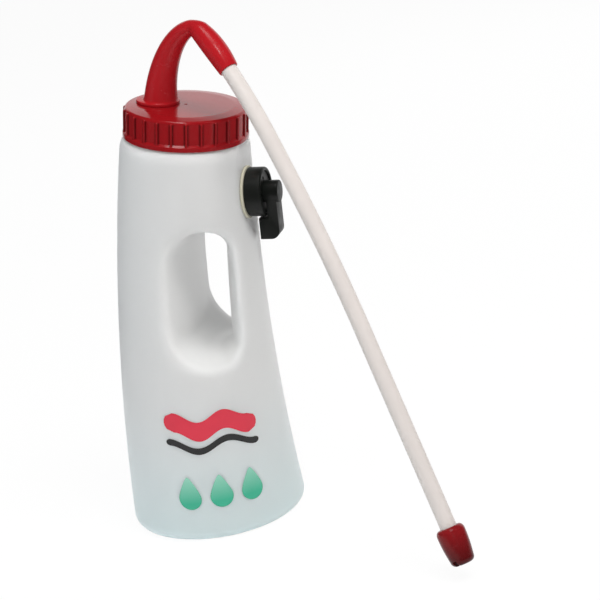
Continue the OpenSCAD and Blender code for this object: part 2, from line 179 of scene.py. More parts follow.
@dataclass(frozen=True)
class Finish:
    """A moulded finish whose colour, gloss and surface vary a little over the piece.

    Args:
        name: Name of the material.
        colour: Main colour.
        shade: Colour that the slow patches lean to.
        gloss: Lowest and highest roughness.
        patch_scale: Slow patches per metre.
        grain_scale: Grains of the fine surface per metre.
        grain_depth: Depth of the fine surface.
        stretch: Scale of the grain along X, Y and Z, where streaks are wanted.
        metallic: 1 for bare metal.
        subsurface: Share of the light that scatters inside.
        scatter: Length over which it scatters.
        specular: Level of the plain reflection.
    """

    name: str
    colour: Colour
    shade: Colour
    gloss: Point
    patch_scale: float = 25.0
    grain_scale: float = 900.0
    grain_depth: float = 0.00002
    stretch: Place = (1.0, 1.0, 1.0)
    metallic: float = 0.0
    subsurface: float = 0.0
    scatter: float = 0.004
    specular: float = 0.5

    def material(self) -> bpy.types.Material:
        """Gives the finish's material, which is made on first use.

        Returns:
            The material.
        """
        made = bpy.data.materials.get(self.name)
        if made:
            return made
        made = bpy.data.materials.new(self.name)
        made.use_nodes = True
        tree = made.node_tree
        place = node(tree, "TexCoord", {}).outputs["Object"]
        patches = self.noise(tree, place, self.patch_scale, PATCH_DETAIL)
        streaks = node(tree, "Mapping", {"Vector": place, "Scale": self.stretch}).outputs["Vector"]
        grain = self.noise(tree, streaks, self.grain_scale, GRAIN_DETAIL)
        gloss = node(tree, "MapRange", {
            "Value": grain, "From Min": GRAIN_RANGE[0], "From Max": GRAIN_RANGE[1],
            "To Min": self.gloss[0], "To Max": self.gloss[1],
        })
        bump = node(tree, "Bump", {
            "Distance": self.grain_depth, "Height": self.relief(tree, place, grain),
        })
        feed(tree, tree.nodes["Principled BSDF"], {
            "Base Color": self.tint(tree, place, blended(tree, patches, self.colour, self.shade)),
            "Roughness": gloss.outputs["Result"],
            "Normal": bump.outputs["Normal"],
            "Metallic": self.metallic,
            "Subsurface Weight": self.subsurface,
            "Subsurface Radius": (1.0, 1.0, 1.0),
            "Subsurface Scale": self.scatter,
            "Specular IOR Level": self.specular,
        })
        return made

    @staticmethod
    def noise(tree: Tree, place: Socket, scale: float, detail: float) -> Socket:
        """Adds a noise texture and gives its value."""
        inputs = {"Vector": place, "Scale": scale, "Detail": detail}
        return node(tree, "TexNoise", inputs).outputs["Fac"]

    def tint(self, tree: Tree, place: Socket, colour: Socket) -> Socket:
        """Gives the final colour; a finish with more to its colour overrides it.

        Args:
            tree: Node tree of the material.
            place: Place on the piece.
            colour: Colour made so far.

        Returns:
            The socket with the final colour.
        """
        return colour

    def relief(self, tree: Tree, place: Socket, height: Socket) -> Socket:
        """Gives the final height; a finish with a relief of its own overrides it.

        Args:
            tree: Node tree of the material.
            place: Place on the piece.
            height: Height made so far.

        Returns:
            The socket with the final height.
        """
        return height


@dataclass(frozen=True)
class BlownShell(Finish):
    """Blow-moulded shell with the fine line where the mould's halves meet, in the plane y = 0.

    Towards the foot the colour leans to a painted bluish light.

    Args:
        seam_width: Half the width of the line.
        seam_rise: Rise of the line, in grain depths.
        foot_light_colour: Colour of the painted bluish light at the foot.
        foot_light_reach: Height up to which that painted light shows.
    """

    seam_width: float = 0.0006
    seam_rise: float = 5.0
    # Painted bluish light towards the foot.
    foot_light_colour: Colour = (0.67, 0.90, 0.95)
    foot_light_reach: float = 0.13

    def tint(self, tree: Tree, place: Socket, colour: Socket) -> Socket:
        """Paints a bluish light into the colour towards the foot."""
        # Painted light: a bluish cast that grows towards the foot.
        share = height_share(tree, place, 0.0, self.foot_light_reach, "SMOOTHSTEP")
        return blended(tree, share, self.foot_light_colour, colour)

    def relief(self, tree: Tree, place: Socket, height: Socket) -> Socket:
        """Adds the mould line to the height.

        Args:
            tree: Node tree of the material.
            place: Place on the piece.
            height: Height made so far.

        Returns:
            The socket with the final height.
        """
        aside = node(tree, "SeparateXYZ", {"Vector": place}).outputs["Y"]
        away = node(tree, "Math", {0: aside}, operation="ABSOLUTE").outputs["Value"]
        seam = node(tree, "MapRange", {
            "Value": away, "From Max": self.seam_width, "To Min": self.seam_rise, "To Max": 0.0,
        }, interpolation_type="SMOOTHSTEP")
        return node(tree, "Math", {0: height, 1: seam.outputs["Result"]}).outputs["Value"]


@dataclass(frozen=True)
class FadedFinish(Finish):
    """Finish that fades from one colour to another with height.

    Args:
        low: Height where the fade starts.
        high: Height where the fade ends.
        top_colour: Colour at the high end.
    """

    low: float = 0.0
    high: float = 1.0
    top_colour: Colour = (1.0, 1.0, 1.0)

    def tint(self, tree: Tree, place: Socket, colour: Socket) -> Socket:
        """Fades the colour upwards."""
        share = height_share(tree, place, self.low, self.high, "LINEAR")
        return blended(tree, share, colour, self.top_colour)


@dataclass(frozen=True)
class CornerShadeFinish(Finish):
    """A finish with painted shade in the corners beside a piece's ribs, where light falls less.

    Args:
        corner_shade_colour: Colour of the painted shade in the corners.
    """

    corner_shade_colour: Colour = (0.085, 0.002, 0.003)

    def tint(self, tree: Tree, place: Socket, colour: Socket) -> Socket:
        """Paints shade into the corners that the piece has marked."""
        # Painted shade: the marked corners are darkened in colour.
        corners = node(tree, "Attribute", {}, attribute_name=CORNER_SHADE_LAYER).outputs["Fac"]
        return blended(tree, corners, colour, self.corner_shade_colour)


NATURAL_SHELL = BlownShell(
    "natural_polyethylene", (0.90, 0.90, 0.895), (0.85, 0.855, 0.85), (0.34, 0.46), patch_scale=9.0,
    grain_scale=420.0, grain_depth=0.00003, subsurface=0.9, scatter=0.014, specular=0.3,
)
# Painted shade: the spout's red plastic made darker to stand for the lower light on the cap's sides;
# it also paints shade beside the ribs.
RED_SHADED = CornerShadeFinish(
    "red_shaded", (0.25, 0.005, 0.008), (0.22, 0.004, 0.006), (0.14, 0.22), patch_scale=40.0,
    grain_scale=300.0, specular=0.4,
)
RED_BRIGHT = Finish(
    "red_bright", (0.37, 0.009, 0.014), (0.32, 0.007, 0.010), (0.20, 0.28), patch_scale=40.0,
    grain_scale=120.0, grain_depth=0.00001, specular=0.25,
)
# The top colour is the tip's red; the fade to near black towards its lower end is painted shade,
# where less light falls.
RED_SOFT_SHADED = FadedFinish(
    "red_soft_shaded", (0.011, 0.0012, 0.0015), (0.009, 0.001, 0.0012), (0.2, 0.3), patch_scale=90.0,
    grain_scale=120.0, grain_depth=0.00001, specular=0.2,
    low=0.008, high=0.036, top_colour=(0.185, 0.007, 0.009),
)
WHITE_TUBE = Finish(
    "white_tube", (0.60, 0.555, 0.53), (0.55, 0.51, 0.49), (0.30, 0.42), patch_scale=30.0,
    grain_scale=500.0, subsurface=0.25, scatter=0.003, specular=0.3,
)
BLACK_SATIN = Finish(
    "black_satin", (0.005, 0.006, 0.005), (0.008, 0.009, 0.008), (0.36, 0.52), patch_scale=120.0,
    grain_scale=500.0, grain_depth=0.00003, stretch=(3.0, 0.4, 0.4), specular=0.25,
)
CREAM_SOFT = Finish(
    "cream_soft", (0.50, 0.48, 0.38), (0.44, 0.42, 0.33), (0.55, 0.75), patch_scale=60.0,
    grain_depth=0.00005,
)
BLACK_RUBBER = Finish(
    "black_rubber", (0.015, 0.015, 0.015), (0.022, 0.022, 0.022), (0.6, 0.8), grain_depth=0.00004,
)
STEEL = Finish(
    "spring_steel", (0.55, 0.55, 0.56), (0.48, 0.48, 0.49), (0.22, 0.4), patch_scale=80.0,
    grain_scale=1500.0, stretch=(0.2, 1.0, 1.0), metallic=1.0,
)
RED_INK = Finish("red_ink", (0.60, 0.025, 0.05), (0.52, 0.02, 0.045), (0.35, 0.5), patch_scale=90.0)
BLACK_INK = Finish(
    "black_ink", (0.012, 0.012, 0.013), (0.02, 0.02, 0.02), (0.35, 0.5), patch_scale=90.0,
)
GREEN_INK = FadedFinish(
    "green_ink", (0.03, 0.36, 0.22), (0.025, 0.32, 0.20), (0.35, 0.5), patch_scale=90.0,
    low=0.030, high=0.068, top_colour=(0.42, 0.66, 0.56),
)


def moved(x: float = 0.0, y: float = 0.0, z: float = 0.0) -> Matrix:
    """Gives a shift as a matrix."""
    return Matrix.Translation((x, y, z))


def turned(angle: float, axis: str) -> Matrix:
    """Gives a turn about a main axis, in radians, as a matrix."""
    return Matrix.Rotation(angle, 4, axis)


def joint_frame(joint: Joint) -> Matrix:
    """Gives a joint's frame, with +Z along its axis: up the neck, or out of the bottle.

    Args:
        joint: The joint.

    Returns:
        The frame at rest.
    """
    found = next(j for j in frame["joints"] if j["name"] == joint.value)
    lean = math.atan2(found["axis"][0], found["axis"][2])
    return Matrix.Translation(found["pos_m"]) @ turned(lean, "Y")


def arc(centre: Point, radii: Point, start: float, end: float, steps: int) -> list[Point]:
    """Lists the points of an arc in a profile.

    Args:
        centre: Radius and height of the arc's centre.
        radii: Its half axes along radius and height.
        start: First angle in degrees, 0 along the radius and 90 upwards.
        end: Last angle in degrees.
        steps: Number of chords.

    Returns:
        The points, both ends included.
    """
    angles = [math.radians(start + (end - start) * k / steps) for k in range(steps + 1)]
    return [(centre[0] + radii[0] * math.cos(a), centre[1] + radii[1] * math.sin(a)) for a in angles]


def tidied(bm: BMesh) -> BMesh:
    """Merges doubled points, turns the faces outwards and gives the mesh back.

    Args:
        bm: Mesh to tidy.

    Returns:
        The same mesh.
    """
    bmesh.ops.remove_doubles(bm, verts=bm.verts, dist=MERGE_DISTANCE)
    bmesh.ops.recalc_face_normals(bm, faces=bm.faces)
    return bm


def spun(profile: Sequence[Point], steps: int, closed: bool = True) -> BMesh:
    """Turns a profile once round Z.

    Args:
        profile: Radius and height of each point.
        steps: Number of steps round.
        closed: Whether the last point joins the first.

    Returns:
        The mesh.
    """
    bm = bmesh.new()
    verts = [bm.verts.new((r, 0.0, z)) for r, z in profile]
    pairs = list(zip(verts, verts[1:] + verts[:1]))
    edges = [bm.edges.new(pair) for pair in (pairs if closed else pairs[:-1])]
    bmesh.ops.spin(
        bm, geom=verts + edges, cent=(0, 0, 0), axis=(0, 0, 1), dvec=(0, 0, 0),
        angle=2 * math.pi, steps=steps, use_merge=True, use_normal_flip=False, use_duplicate=False,
    )
    return tidied(bm)


def lofted(rings: Sequence[Ring]) -> BMesh:
    """Draws a circle out through a row of circles and back to the first, without a twist.

    Args:
        rings: Frame and radius of each circle.

    Returns:
        The mesh.
    """
    bm = bmesh.new()
    place, radius = rings[0]
    first = bmesh.ops.create_circle(bm, segments=RING_STEPS, radius=radius, matrix=place)["verts"]
    last = first
    edges = list(bm.edges)
    for (here, size), (there, radius) in zip(rings, [*rings[1:], rings[0]]):
        made = bmesh.ops.extrude_edge_only(bm, edges=edges)["geom"]
        last = [part for part in made if isinstance(part, bmesh.types.BMVert)]
        fresh = set(last)
        edges = [
            part for part in made
            if isinstance(part, bmesh.types.BMEdge) and fresh.issuperset(part.verts)
        ]
        swing = here.col[2].to_3d().rotation_difference(there.col[2].to_3d())
        for vert in last:
            vert.co = there.translation + swing @ (vert.co - here.translation) * (radius / size)
    bmesh.ops.remove_doubles(bm, verts=[*first, *last], dist=CLOSING_DISTANCE)
    return tidied(bm)


def placed(bm: BMesh, matrix: Matrix) -> BMesh:
    """Moves a whole mesh and gives it back."""
    bmesh.ops.transform(bm, matrix=matrix, verts=bm.verts)
    return bm


def scratch_object(bm: BMesh) -> bpy.types.Object:
    """Puts a mesh into a passing object and frees the mesh.

    Args:
        bm: The mesh.

    Returns:
        The object.
    """
    mesh = bpy.data.meshes.new("scratch")
    bm.to_mesh(mesh)
    bm.free()
    made = bpy.data.objects.new("scratch", mesh)
    bpy.context.scene.collection.objects.link(made)
    return made


def dropped(made: bpy.types.Object) -> None:
    """Removes a passing object and its mesh.

    Args:
        made: The object.
    """
    mesh = made.data
    bpy.data.objects.remove(made)
    bpy.data.meshes.remove(mesh)


def shaped(bm: BMesh, kind: str, **settings: object) -> BMesh:
    """Runs a modifier on a mesh and takes the result.

    Args:
        bm: Mesh to work on; it is freed.
        kind: Type of the modifier.
        settings: Its settings.

    Returns:
        The new mesh.
    """
    scratch = scratch_object(bm)
    modifier = scratch.modifiers.new(kind.lower(), kind)
    for key, value in settings.items():
        setattr(modifier, key, value)
    bpy.context.view_layer.update()
    seen = scratch.evaluated_get(bpy.context.evaluated_depsgraph_get())
    result = bmesh.new()
    result.from_mesh(seen.to_mesh())
    seen.to_mesh_clear()
    dropped(scratch)
    return result


def combined(bm: BMesh, tool: BMesh, cut: Cut) -> BMesh:
    """Takes one closed mesh from another, or joins the two; both are freed.

    Args:
        bm: First mesh.
        tool: Second mesh.
        cut: Way to combine them.

    Returns:
        The new mesh.
    """
    other = scratch_object(tool)
    result = shaped(bm, "BOOLEAN", operation=cut.value, object=other, solver="EXACT")
    dropped(other)
    return result


def drilled(bm: BMesh, radius: float, depth: float, place: Matrix) -> BMesh:
    """Takes a round hole out of a closed mesh, about the middle of a frame.

    Args:
        bm: Mesh to work on; it is freed.
        radius: Radius of the hole.
        depth: Its whole depth.
        place: The frame, with +Z along the hole.

    Returns:
        The new mesh.
    """
    hole = bmesh.new()
    bmesh.ops.create_cone(
        hole, segments=HOLE_STEPS, radius1=radius, radius2=radius, depth=depth, cap_ends=True,
        matrix=place,
    )
    return combined(bm, hole, Cut.TAKE_AWAY)


def softened(bm: BMesh, width: float) -> BMesh:
    """Rounds the sharp edges of a mesh.

    Args:
        bm: Mesh to work on; it is freed.
        width: Width of the rounding.

    Returns:
        The new mesh.
    """
    return shaped(
        bm, "BEVEL", width=width, segments=SOFT_STEPS, limit_method="ANGLE", angle_limit=CREASE_ANGLE,
    )


def piece(name: str, bm: BMesh, finish: Finish, body: Body,
          replaces: Iterable[str] = ()) -> None:
    """Makes a finished piece of a mesh.

    Args:
        name: Name of the piece.
        bm: Its mesh, in place; it is freed.
        finish: Its finish.
        body: Body that it rides on.
        replaces: Solids that it stands for.
    """
    made = scratch_object(bm)
    made.name = name
    made.data.name = name
    made.data.materials.append(finish.material())
    made.data.shade_smooth()
    made.data.set_sharp_from_angle(angle=CREASE_ANGLE)
    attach(made, body.value)
    if replaces:
        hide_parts(*replaces)
    LOG.info("%s: %d faces", name, len(made.data.polygons))


@dataclass(frozen=True)
class Thread:
    """One start of a thread with tapered ends.

    Args:
        radius: Radius of the wall that carries it.
        turns: Number of turns.
        side: 1 to stand outwards, -1 to stand inwards.
        late: Share of a lead by which it starts higher.
        rise: Height of its crest over the wall, and depth of its root.
        lead: Rise in one turn.
        root_share: Half its width at the root, in leads.
        crest_share: Half its width at the crest, in leads.
        sink_share: Depth to which its ends sink, in rises.
        taper: Number of tapers that would fill a turn.
        turn_steps: Steps in one turn.
    """

    radius: float
    turns: float
    side: float = 1.0
    late: float = 0.0
    rise: float = 0.00075
    lead: float = 0.0072
    root_share: float = 0.22
    crest_share: float = 0.08
    sink_share: float = 0.5
    taper: float = 8.0
    turn_steps: int = 72

    def mesh(self) -> BMesh:
        """Makes the thread in the neck's frame.

        Returns:
            The mesh.
        """
        steps = int(self.turns * self.turn_steps)
        root, crest = self.lead * self.root_share, self.lead * self.crest_share
        low = THREAD_START + self.lead * self.late
        run = self.lead * self.turns
        bm = bmesh.new()
        section = ((-self.rise, -root), (self.rise, -crest), (self.rise, crest), (-self.rise, root))
        verts = [
            bm.verts.new((self.radius + self.side * out, 0.0, low + root + up)) for out, up in section
        ]
        face = bm.faces.new(verts)
        bmesh.ops.spin(
            bm, geom=[face, *face.edges, *verts], cent=(0, 0, 0), axis=(0, 0, 1),
            dvec=(0, 0, run / steps), angle=2 * math.pi * self.turns, steps=steps,
            use_merge=False, use_normal_flip=False, use_duplicate=False,
        )
        tidied(bm)
        for vert in bm.verts:
            share = (vert.co.z - low - root) / run
            fade = min(1.0, max(0.0, min(share, 1.0 - share) * self.turns * self.taper))
            reach = math.hypot(vert.co.x, vert.co.y)
            out = self.side * (reach - self.radius)
            if out > 0.0:
                out = out * fade - self.rise * self.sink_share * (1.0 - fade)
                scale = (self.radius + self.side * out) / reach
                vert.co.x *= scale
                vert.co.y *= scale
        return bm


@dataclass
class Bottle:
    """Tapered shell on a bent axis, with a flared hand hole, a valve seat and a threaded neck.

    The shell is shaped straight, in sideways, across and upward coordinates (u, v, s), and is then
    carried onto the bent axis.
    """

    height: float = 0.288
    base_radius: float = 0.0643
    shoulder_radius: float = 0.0475
    shoulder_height: float = 0.011
    shoulder_flat: float = 0.002
    neck_radius: float = 0.040
    neck_height: float = 0.0175
    neck_offset: float = 0.0227
    neck_spare: float = 0.006
    lean: float = math.radians(10)
    wall: float = 0.002
    foot_round: float = 0.0066
    hollow_radius: float = 0.0483
    hollow_rise: float = 0.0025
    hole_near: float = 0.001
    hole_far: float = 0.030
    hole_low: float = 0.133
    hole_high: float = 0.223
    flare_near: float = 0.005
    flare_far: float = 0.066
    flare_low: float = 0.007
    flare_high: float = 0.019
    hole_reach: float = 0.0643
    hole_over: float = 1.05
    hole_steps: int = 28
    corner_share: float = 0.85
    corner_steps: int = 10
    side_steps: int = 14
    rim_reach: float = 0.015
    rim_passes: int = 34
    rim_halvings: int = 16
    seat_height: float = 0.2496
    seat_depth: float = 0.0042
    seat_radius: float = 0.0193
    seat_up: float = 0.022
    seat_down: float = 0.026
    seat_ramp: float = 0.005
    seat_tilt: float = math.radians(3)
    seat_bend: float = math.radians(7)
    seat_spread: float = 1.4
    seat_rings: int = 2
    seat_passes: int = 10
    seat_hole: float = 0.01215
    voxel: float = 0.0019
    round_steps: int = 144
    thread_turns: float = 1.75

    def axis_x(self, s: float) -> float:
        """Gives the sideways place of the bent axis at a height.

        Args:
            s: Height along the axis.

        Returns:
            The place.
        """
        slope = 2 * self.neck_offset / self.height - math.tan(self.lean)
        curve = (math.tan(self.lean) - slope) / (2 * self.height)
        return slope * s + curve * s * s

    def bent(self, u: float, v: float, s: float) -> Vector:
        """Carries a point from straight coordinates onto the bent axis.

        Args:
            u: Sideways place.
            v: Place across.
            s: Height along the axis; above the neck's seat the axis runs straight.

        Returns:
            The point in the frame.
        """
        low = min(s, self.height)
        lean = self.lean * low / self.height
        rise = Vector((math.sin(lean), 0.0, math.cos(lean))) * (s - low)
        return Vector((self.axis_x(low) + u * math.cos(lean), v, low - u * math.sin(lean))) + rise

    def radius(self, s: float) -> float:
        """Gives the outer radius of the plain side at a height.

        Args:
            s: Height along the axis.

        Returns:
            The radius.
        """
        top = self.height - self.shoulder_height
        share = (s - self.foot_round) / (top - self.foot_round)
        return self.base_radius + (self.shoulder_radius - self.base_radius) * share

    def outline(self) -> list[Point]:
        """Lists the shell's profile from the hollow under its base to a closed neck.

        Returns:
            Radius and height of each point.
        """
        edge = self.hollow_rise / 2
        foot = self.foot_round
        top = self.height - self.shoulder_height
        flat = self.neck_radius + self.shoulder_flat
        end = self.height + self.neck_height + self.neck_spare
        return [
            (0.0, self.hollow_rise),
            *arc((self.hollow_radius - edge, edge), (edge, edge), 90, 0, 3),
            *arc((self.hollow_radius + edge, edge), (edge, edge), 180, 270, 3),
            *arc((self.radius(foot) - foot, foot), (foot, foot), 270, 360, 8),
            *arc((flat, top), (self.shoulder_radius - flat, self.shoulder_height), 0, 90, 8),
            (self.neck_radius, self.height),
            (self.neck_radius, end),
            (0.0, end),
        ]

    def hole_frame(self, v: float) -> tuple[float, float, float, float]:
        """Gives the hand hole's near, far, low and high walls at a depth across.

        Args:
            v: Depth across.

        Returns:
            Sideways place of the first two, and height of the others.
        """
        share = (v / self.hole_reach) ** 2
        return (
            self.hole_near - self.flare_near * share,
            self.hole_far + self.flare_far * share,
            self.hole_low - self.flare_low * share,
            self.hole_high + self.flare_high * share,
        )

    def hole_tool(self) -> BMesh:
        """Makes the closed form that cuts the hand hole.

        Returns:
            The mesh, a stack of rounded frames bridged in order.
        """
        bm = bmesh.new()
        loops = []
        for k in range(self.hole_steps + 1):
            v = self.hole_reach * self.hole_over * (2 * k / self.hole_steps - 1)
            near, far, low, high = self.hole_frame(v)
            place = moved((near + far) / 2, v, (low + high) / 2) @ turned(math.pi / 2, "X")
            size = Matrix.Diagonal(((far - near) / 2, (high - low) / 2, 1.0, 1.0))
            made = bmesh.ops.create_grid(
                bm, x_segments=1, y_segments=1, size=1.0, matrix=place @ size,
            )
            rounded = bmesh.ops.bevel(
                bm, geom=made["verts"], affect="VERTICES", segments=self.corner_steps, profile=0.5,
                offset=self.corner_share * (far - near) / 2, material=-1,
            )
            whole = rounded["verts"][0].link_faces[0]
            loops.append(list(whole.edges))
            if 0 < k < self.hole_steps:
                bmesh.ops.delete(bm, geom=[whole], context="FACES_ONLY")
        for here, there in zip(loops, loops[1:]):
            bmesh.ops.bridge_loops(bm, edges=here + there)
        return tidied(bm)

    def seat_frame(self) -> Matrix:
        """Gives the valve seat's frame when straight, with +Z out of the bottle and +X down.

        Returns:
            The frame.
        """
        lean = self.lean * self.seat_height / self.height
        out = moved(self.radius(self.seat_height) - self.seat_depth, 0.0, self.seat_height)
        return out @ turned(math.pi / 2 + self.seat_tilt - lean, "Y")

    def seat_tool(self) -> BMesh:
        """Makes the form that cuts the flat valve seat, in straight coordinates.

        Returns:
            The mesh, a hull that is open to the shoulder and runs out of the wall below the seat.
        """
        place = self.seat_frame()
        bm = bmesh.new()
        for along, rise in ((-self.seat_up, 0.0), (0.0, 0.0), (self.seat_down, self.seat_ramp)):
            for z in (rise, self.seat_radius):
                bmesh.ops.create_circle(
                    bm, segments=HOLE_STEPS, radius=self.seat_radius,
                    matrix=place @ moved(along, 0.0, z),
                )
        bmesh.ops.convex_hull(bm, input=bm.verts)
        loose = [edge for edge in bm.edges if not edge.link_faces]
        bmesh.ops.delete(bm, geom=loose, context="EDGES_FACES")
        bmesh.ops.delete(bm, geom=[v for v in bm.verts if not v.link_faces], context="VERTS")
        return tidied(bm)

    def seat_edge(self, bm: BMesh) -> set[bmesh.types.BMVert]:
        """Finds the points round the edges of the valve seat.

        Args:
            bm: Shell in straight coordinates.

        Returns:
            The points at the edges and a few steps round them.
        """
        back = self.seat_frame().inverted()
        reach = self.seat_radius * self.seat_spread
        found = set()
        for edge in bm.edges:
            spot = back @ edge.verts[0].co
            along = -self.seat_up - reach < spot.x < self.seat_down + reach
            below = edge.verts[0].co.z < self.height - self.shoulder_height / 3
            near = along and below and abs(spot.y) < reach and spot.z > -self.wall
            if near and edge.calc_face_angle(0.0) > self.seat_bend:
                found.update(edge.verts)
        for _ in range(self.seat_rings):
            found |= {edge.other_vert(vert) for vert in found for edge in vert.link_edges}
        return found

    def hole_outline(self, v: float) -> list[Point]:
        """Lists the hand hole's outline at a depth across.

        Args:
            v: Depth across.

        Returns:
            Sideways and upward place of each point.
        """
        near, far, low, high = self.hole_frame(v)
        corner = self.corner_share * (far - near) / 2
        middles = (
            (far - corner, high - corner), (near + corner, high - corner),
            (near + corner, low + corner), (far - corner, low + corner),
        )
        arcs = [
            arc(middle, (corner, corner), 90 * k, 90 * k + 90, self.corner_steps)
            for k, middle in enumerate(middles)
        ]
        points = []
        for here, there in zip(arcs, arcs[1:] + arcs[:1]):
            start, end = Vector(here[-1]), Vector(there[0])
            steps = range(1, self.side_steps)
            points += here + [tuple(start.lerp(end, k / self.side_steps)) for k in steps]
        return points

    def rim(self) -> list[Vector]:
        """Lists points along the two rims of the hand hole, in straight coordinates.

        Returns:
            The points where the hole's wall leaves the shell.
        """
        points = []
        for index in range(len(self.hole_outline(0.0))):
            low, high = 0.0, self.hole_reach
            for _ in range(self.rim_halvings):
                v = (low + high) / 2
                u, s = self.hole_outline(v)[index]
                if math.hypot(u, v) < self.radius(s):
                    low = v
                else:
                    high = v
            u, s = self.hole_outline(low)[index]
            points += [Vector((u, low, s)), Vector((u, -low, s))]
        return points

    def shell(self) -> BMesh:
        """Makes the shell with soft rims, its wall and an open neck.

        Returns:
            The mesh, on the bent axis.
        """
        bm = spun(self.outline(), self.round_steps, closed=False)
        bm = combined(bm, self.hole_tool(), Cut.TAKE_AWAY)
        bm = combined(bm, self.seat_tool(), Cut.TAKE_AWAY)
        bm = shaped(bm, "REMESH", mode="VOXEL", voxel_size=self.voxel)
        points = self.rim()
        tree = KDTree(len(points))
        for index, point in enumerate(points):
            tree.insert(point, index)
        tree.balance()
        near_rim = [v for v in bm.verts if tree.find(v.co)[2] < self.rim_reach]
        near_seat = self.seat_edge(bm)
        for verts, passes in ((near_rim, self.rim_passes), (list(near_seat), self.seat_passes)):
            for _ in range(passes):
                bmesh.ops.smooth_vert(
                    bm, verts=verts, factor=0.5, use_axis_x=True, use_axis_y=True, use_axis_z=True,
                )
        self.snap(bm, near_seat.union(near_rim))
        bmesh.ops.bisect_plane(
            bm, geom=[*bm.verts, *bm.edges, *bm.faces], plane_no=(0, 0, 1), clear_outer=True,
            plane_co=(0, 0, self.height + self.neck_height),
        )
        for vert in bm.verts:
            vert.co = self.bent(*vert.co)
        bmesh.ops.recalc_face_normals(bm, faces=bm.faces)
        bm = shaped(bm, "SOLIDIFY", thickness=self.wall, offset=-1.0)
        return drilled(bm, self.seat_hole, self.seat_hole, joint_frame(Joint.VALVE))

    def snap(self, bm: BMesh, soft: set[bmesh.types.BMVert]) -> None:
        """Draws the plain side onto its true radius.

        Args:
            bm: Mesh in straight coordinates.
            soft: Points near the soft edges, which are left alone.
        """
        low, high = self.foot_round, self.height - self.shoulder_height
        for vert in bm.verts:
            reach = math.hypot(vert.co.x, vert.co.y)
            if vert in soft or reach == 0.0:
                continue
            want = self.radius(vert.co.z) if low < vert.co.z < high else None
            if vert.co.z > self.height + self.voxel:
                want = self.neck_radius
            if want and abs(reach - want) < self.voxel / 2:
                vert.co.x *= want / reach
                vert.co.y *= want / reach

    def build(self) -> None:
        """Builds the shell and its neck's thread."""
        thread = placed(Thread(self.neck_radius, self.thread_turns).mesh(), joint_frame(Joint.NECK))
        piece("bottle_shell", self.shell(), NATURAL_SHELL, Body.BOTTLE, ["bottle"])
        piece("neck_thread", thread, NATURAL_SHELL, Body.BOTTLE)


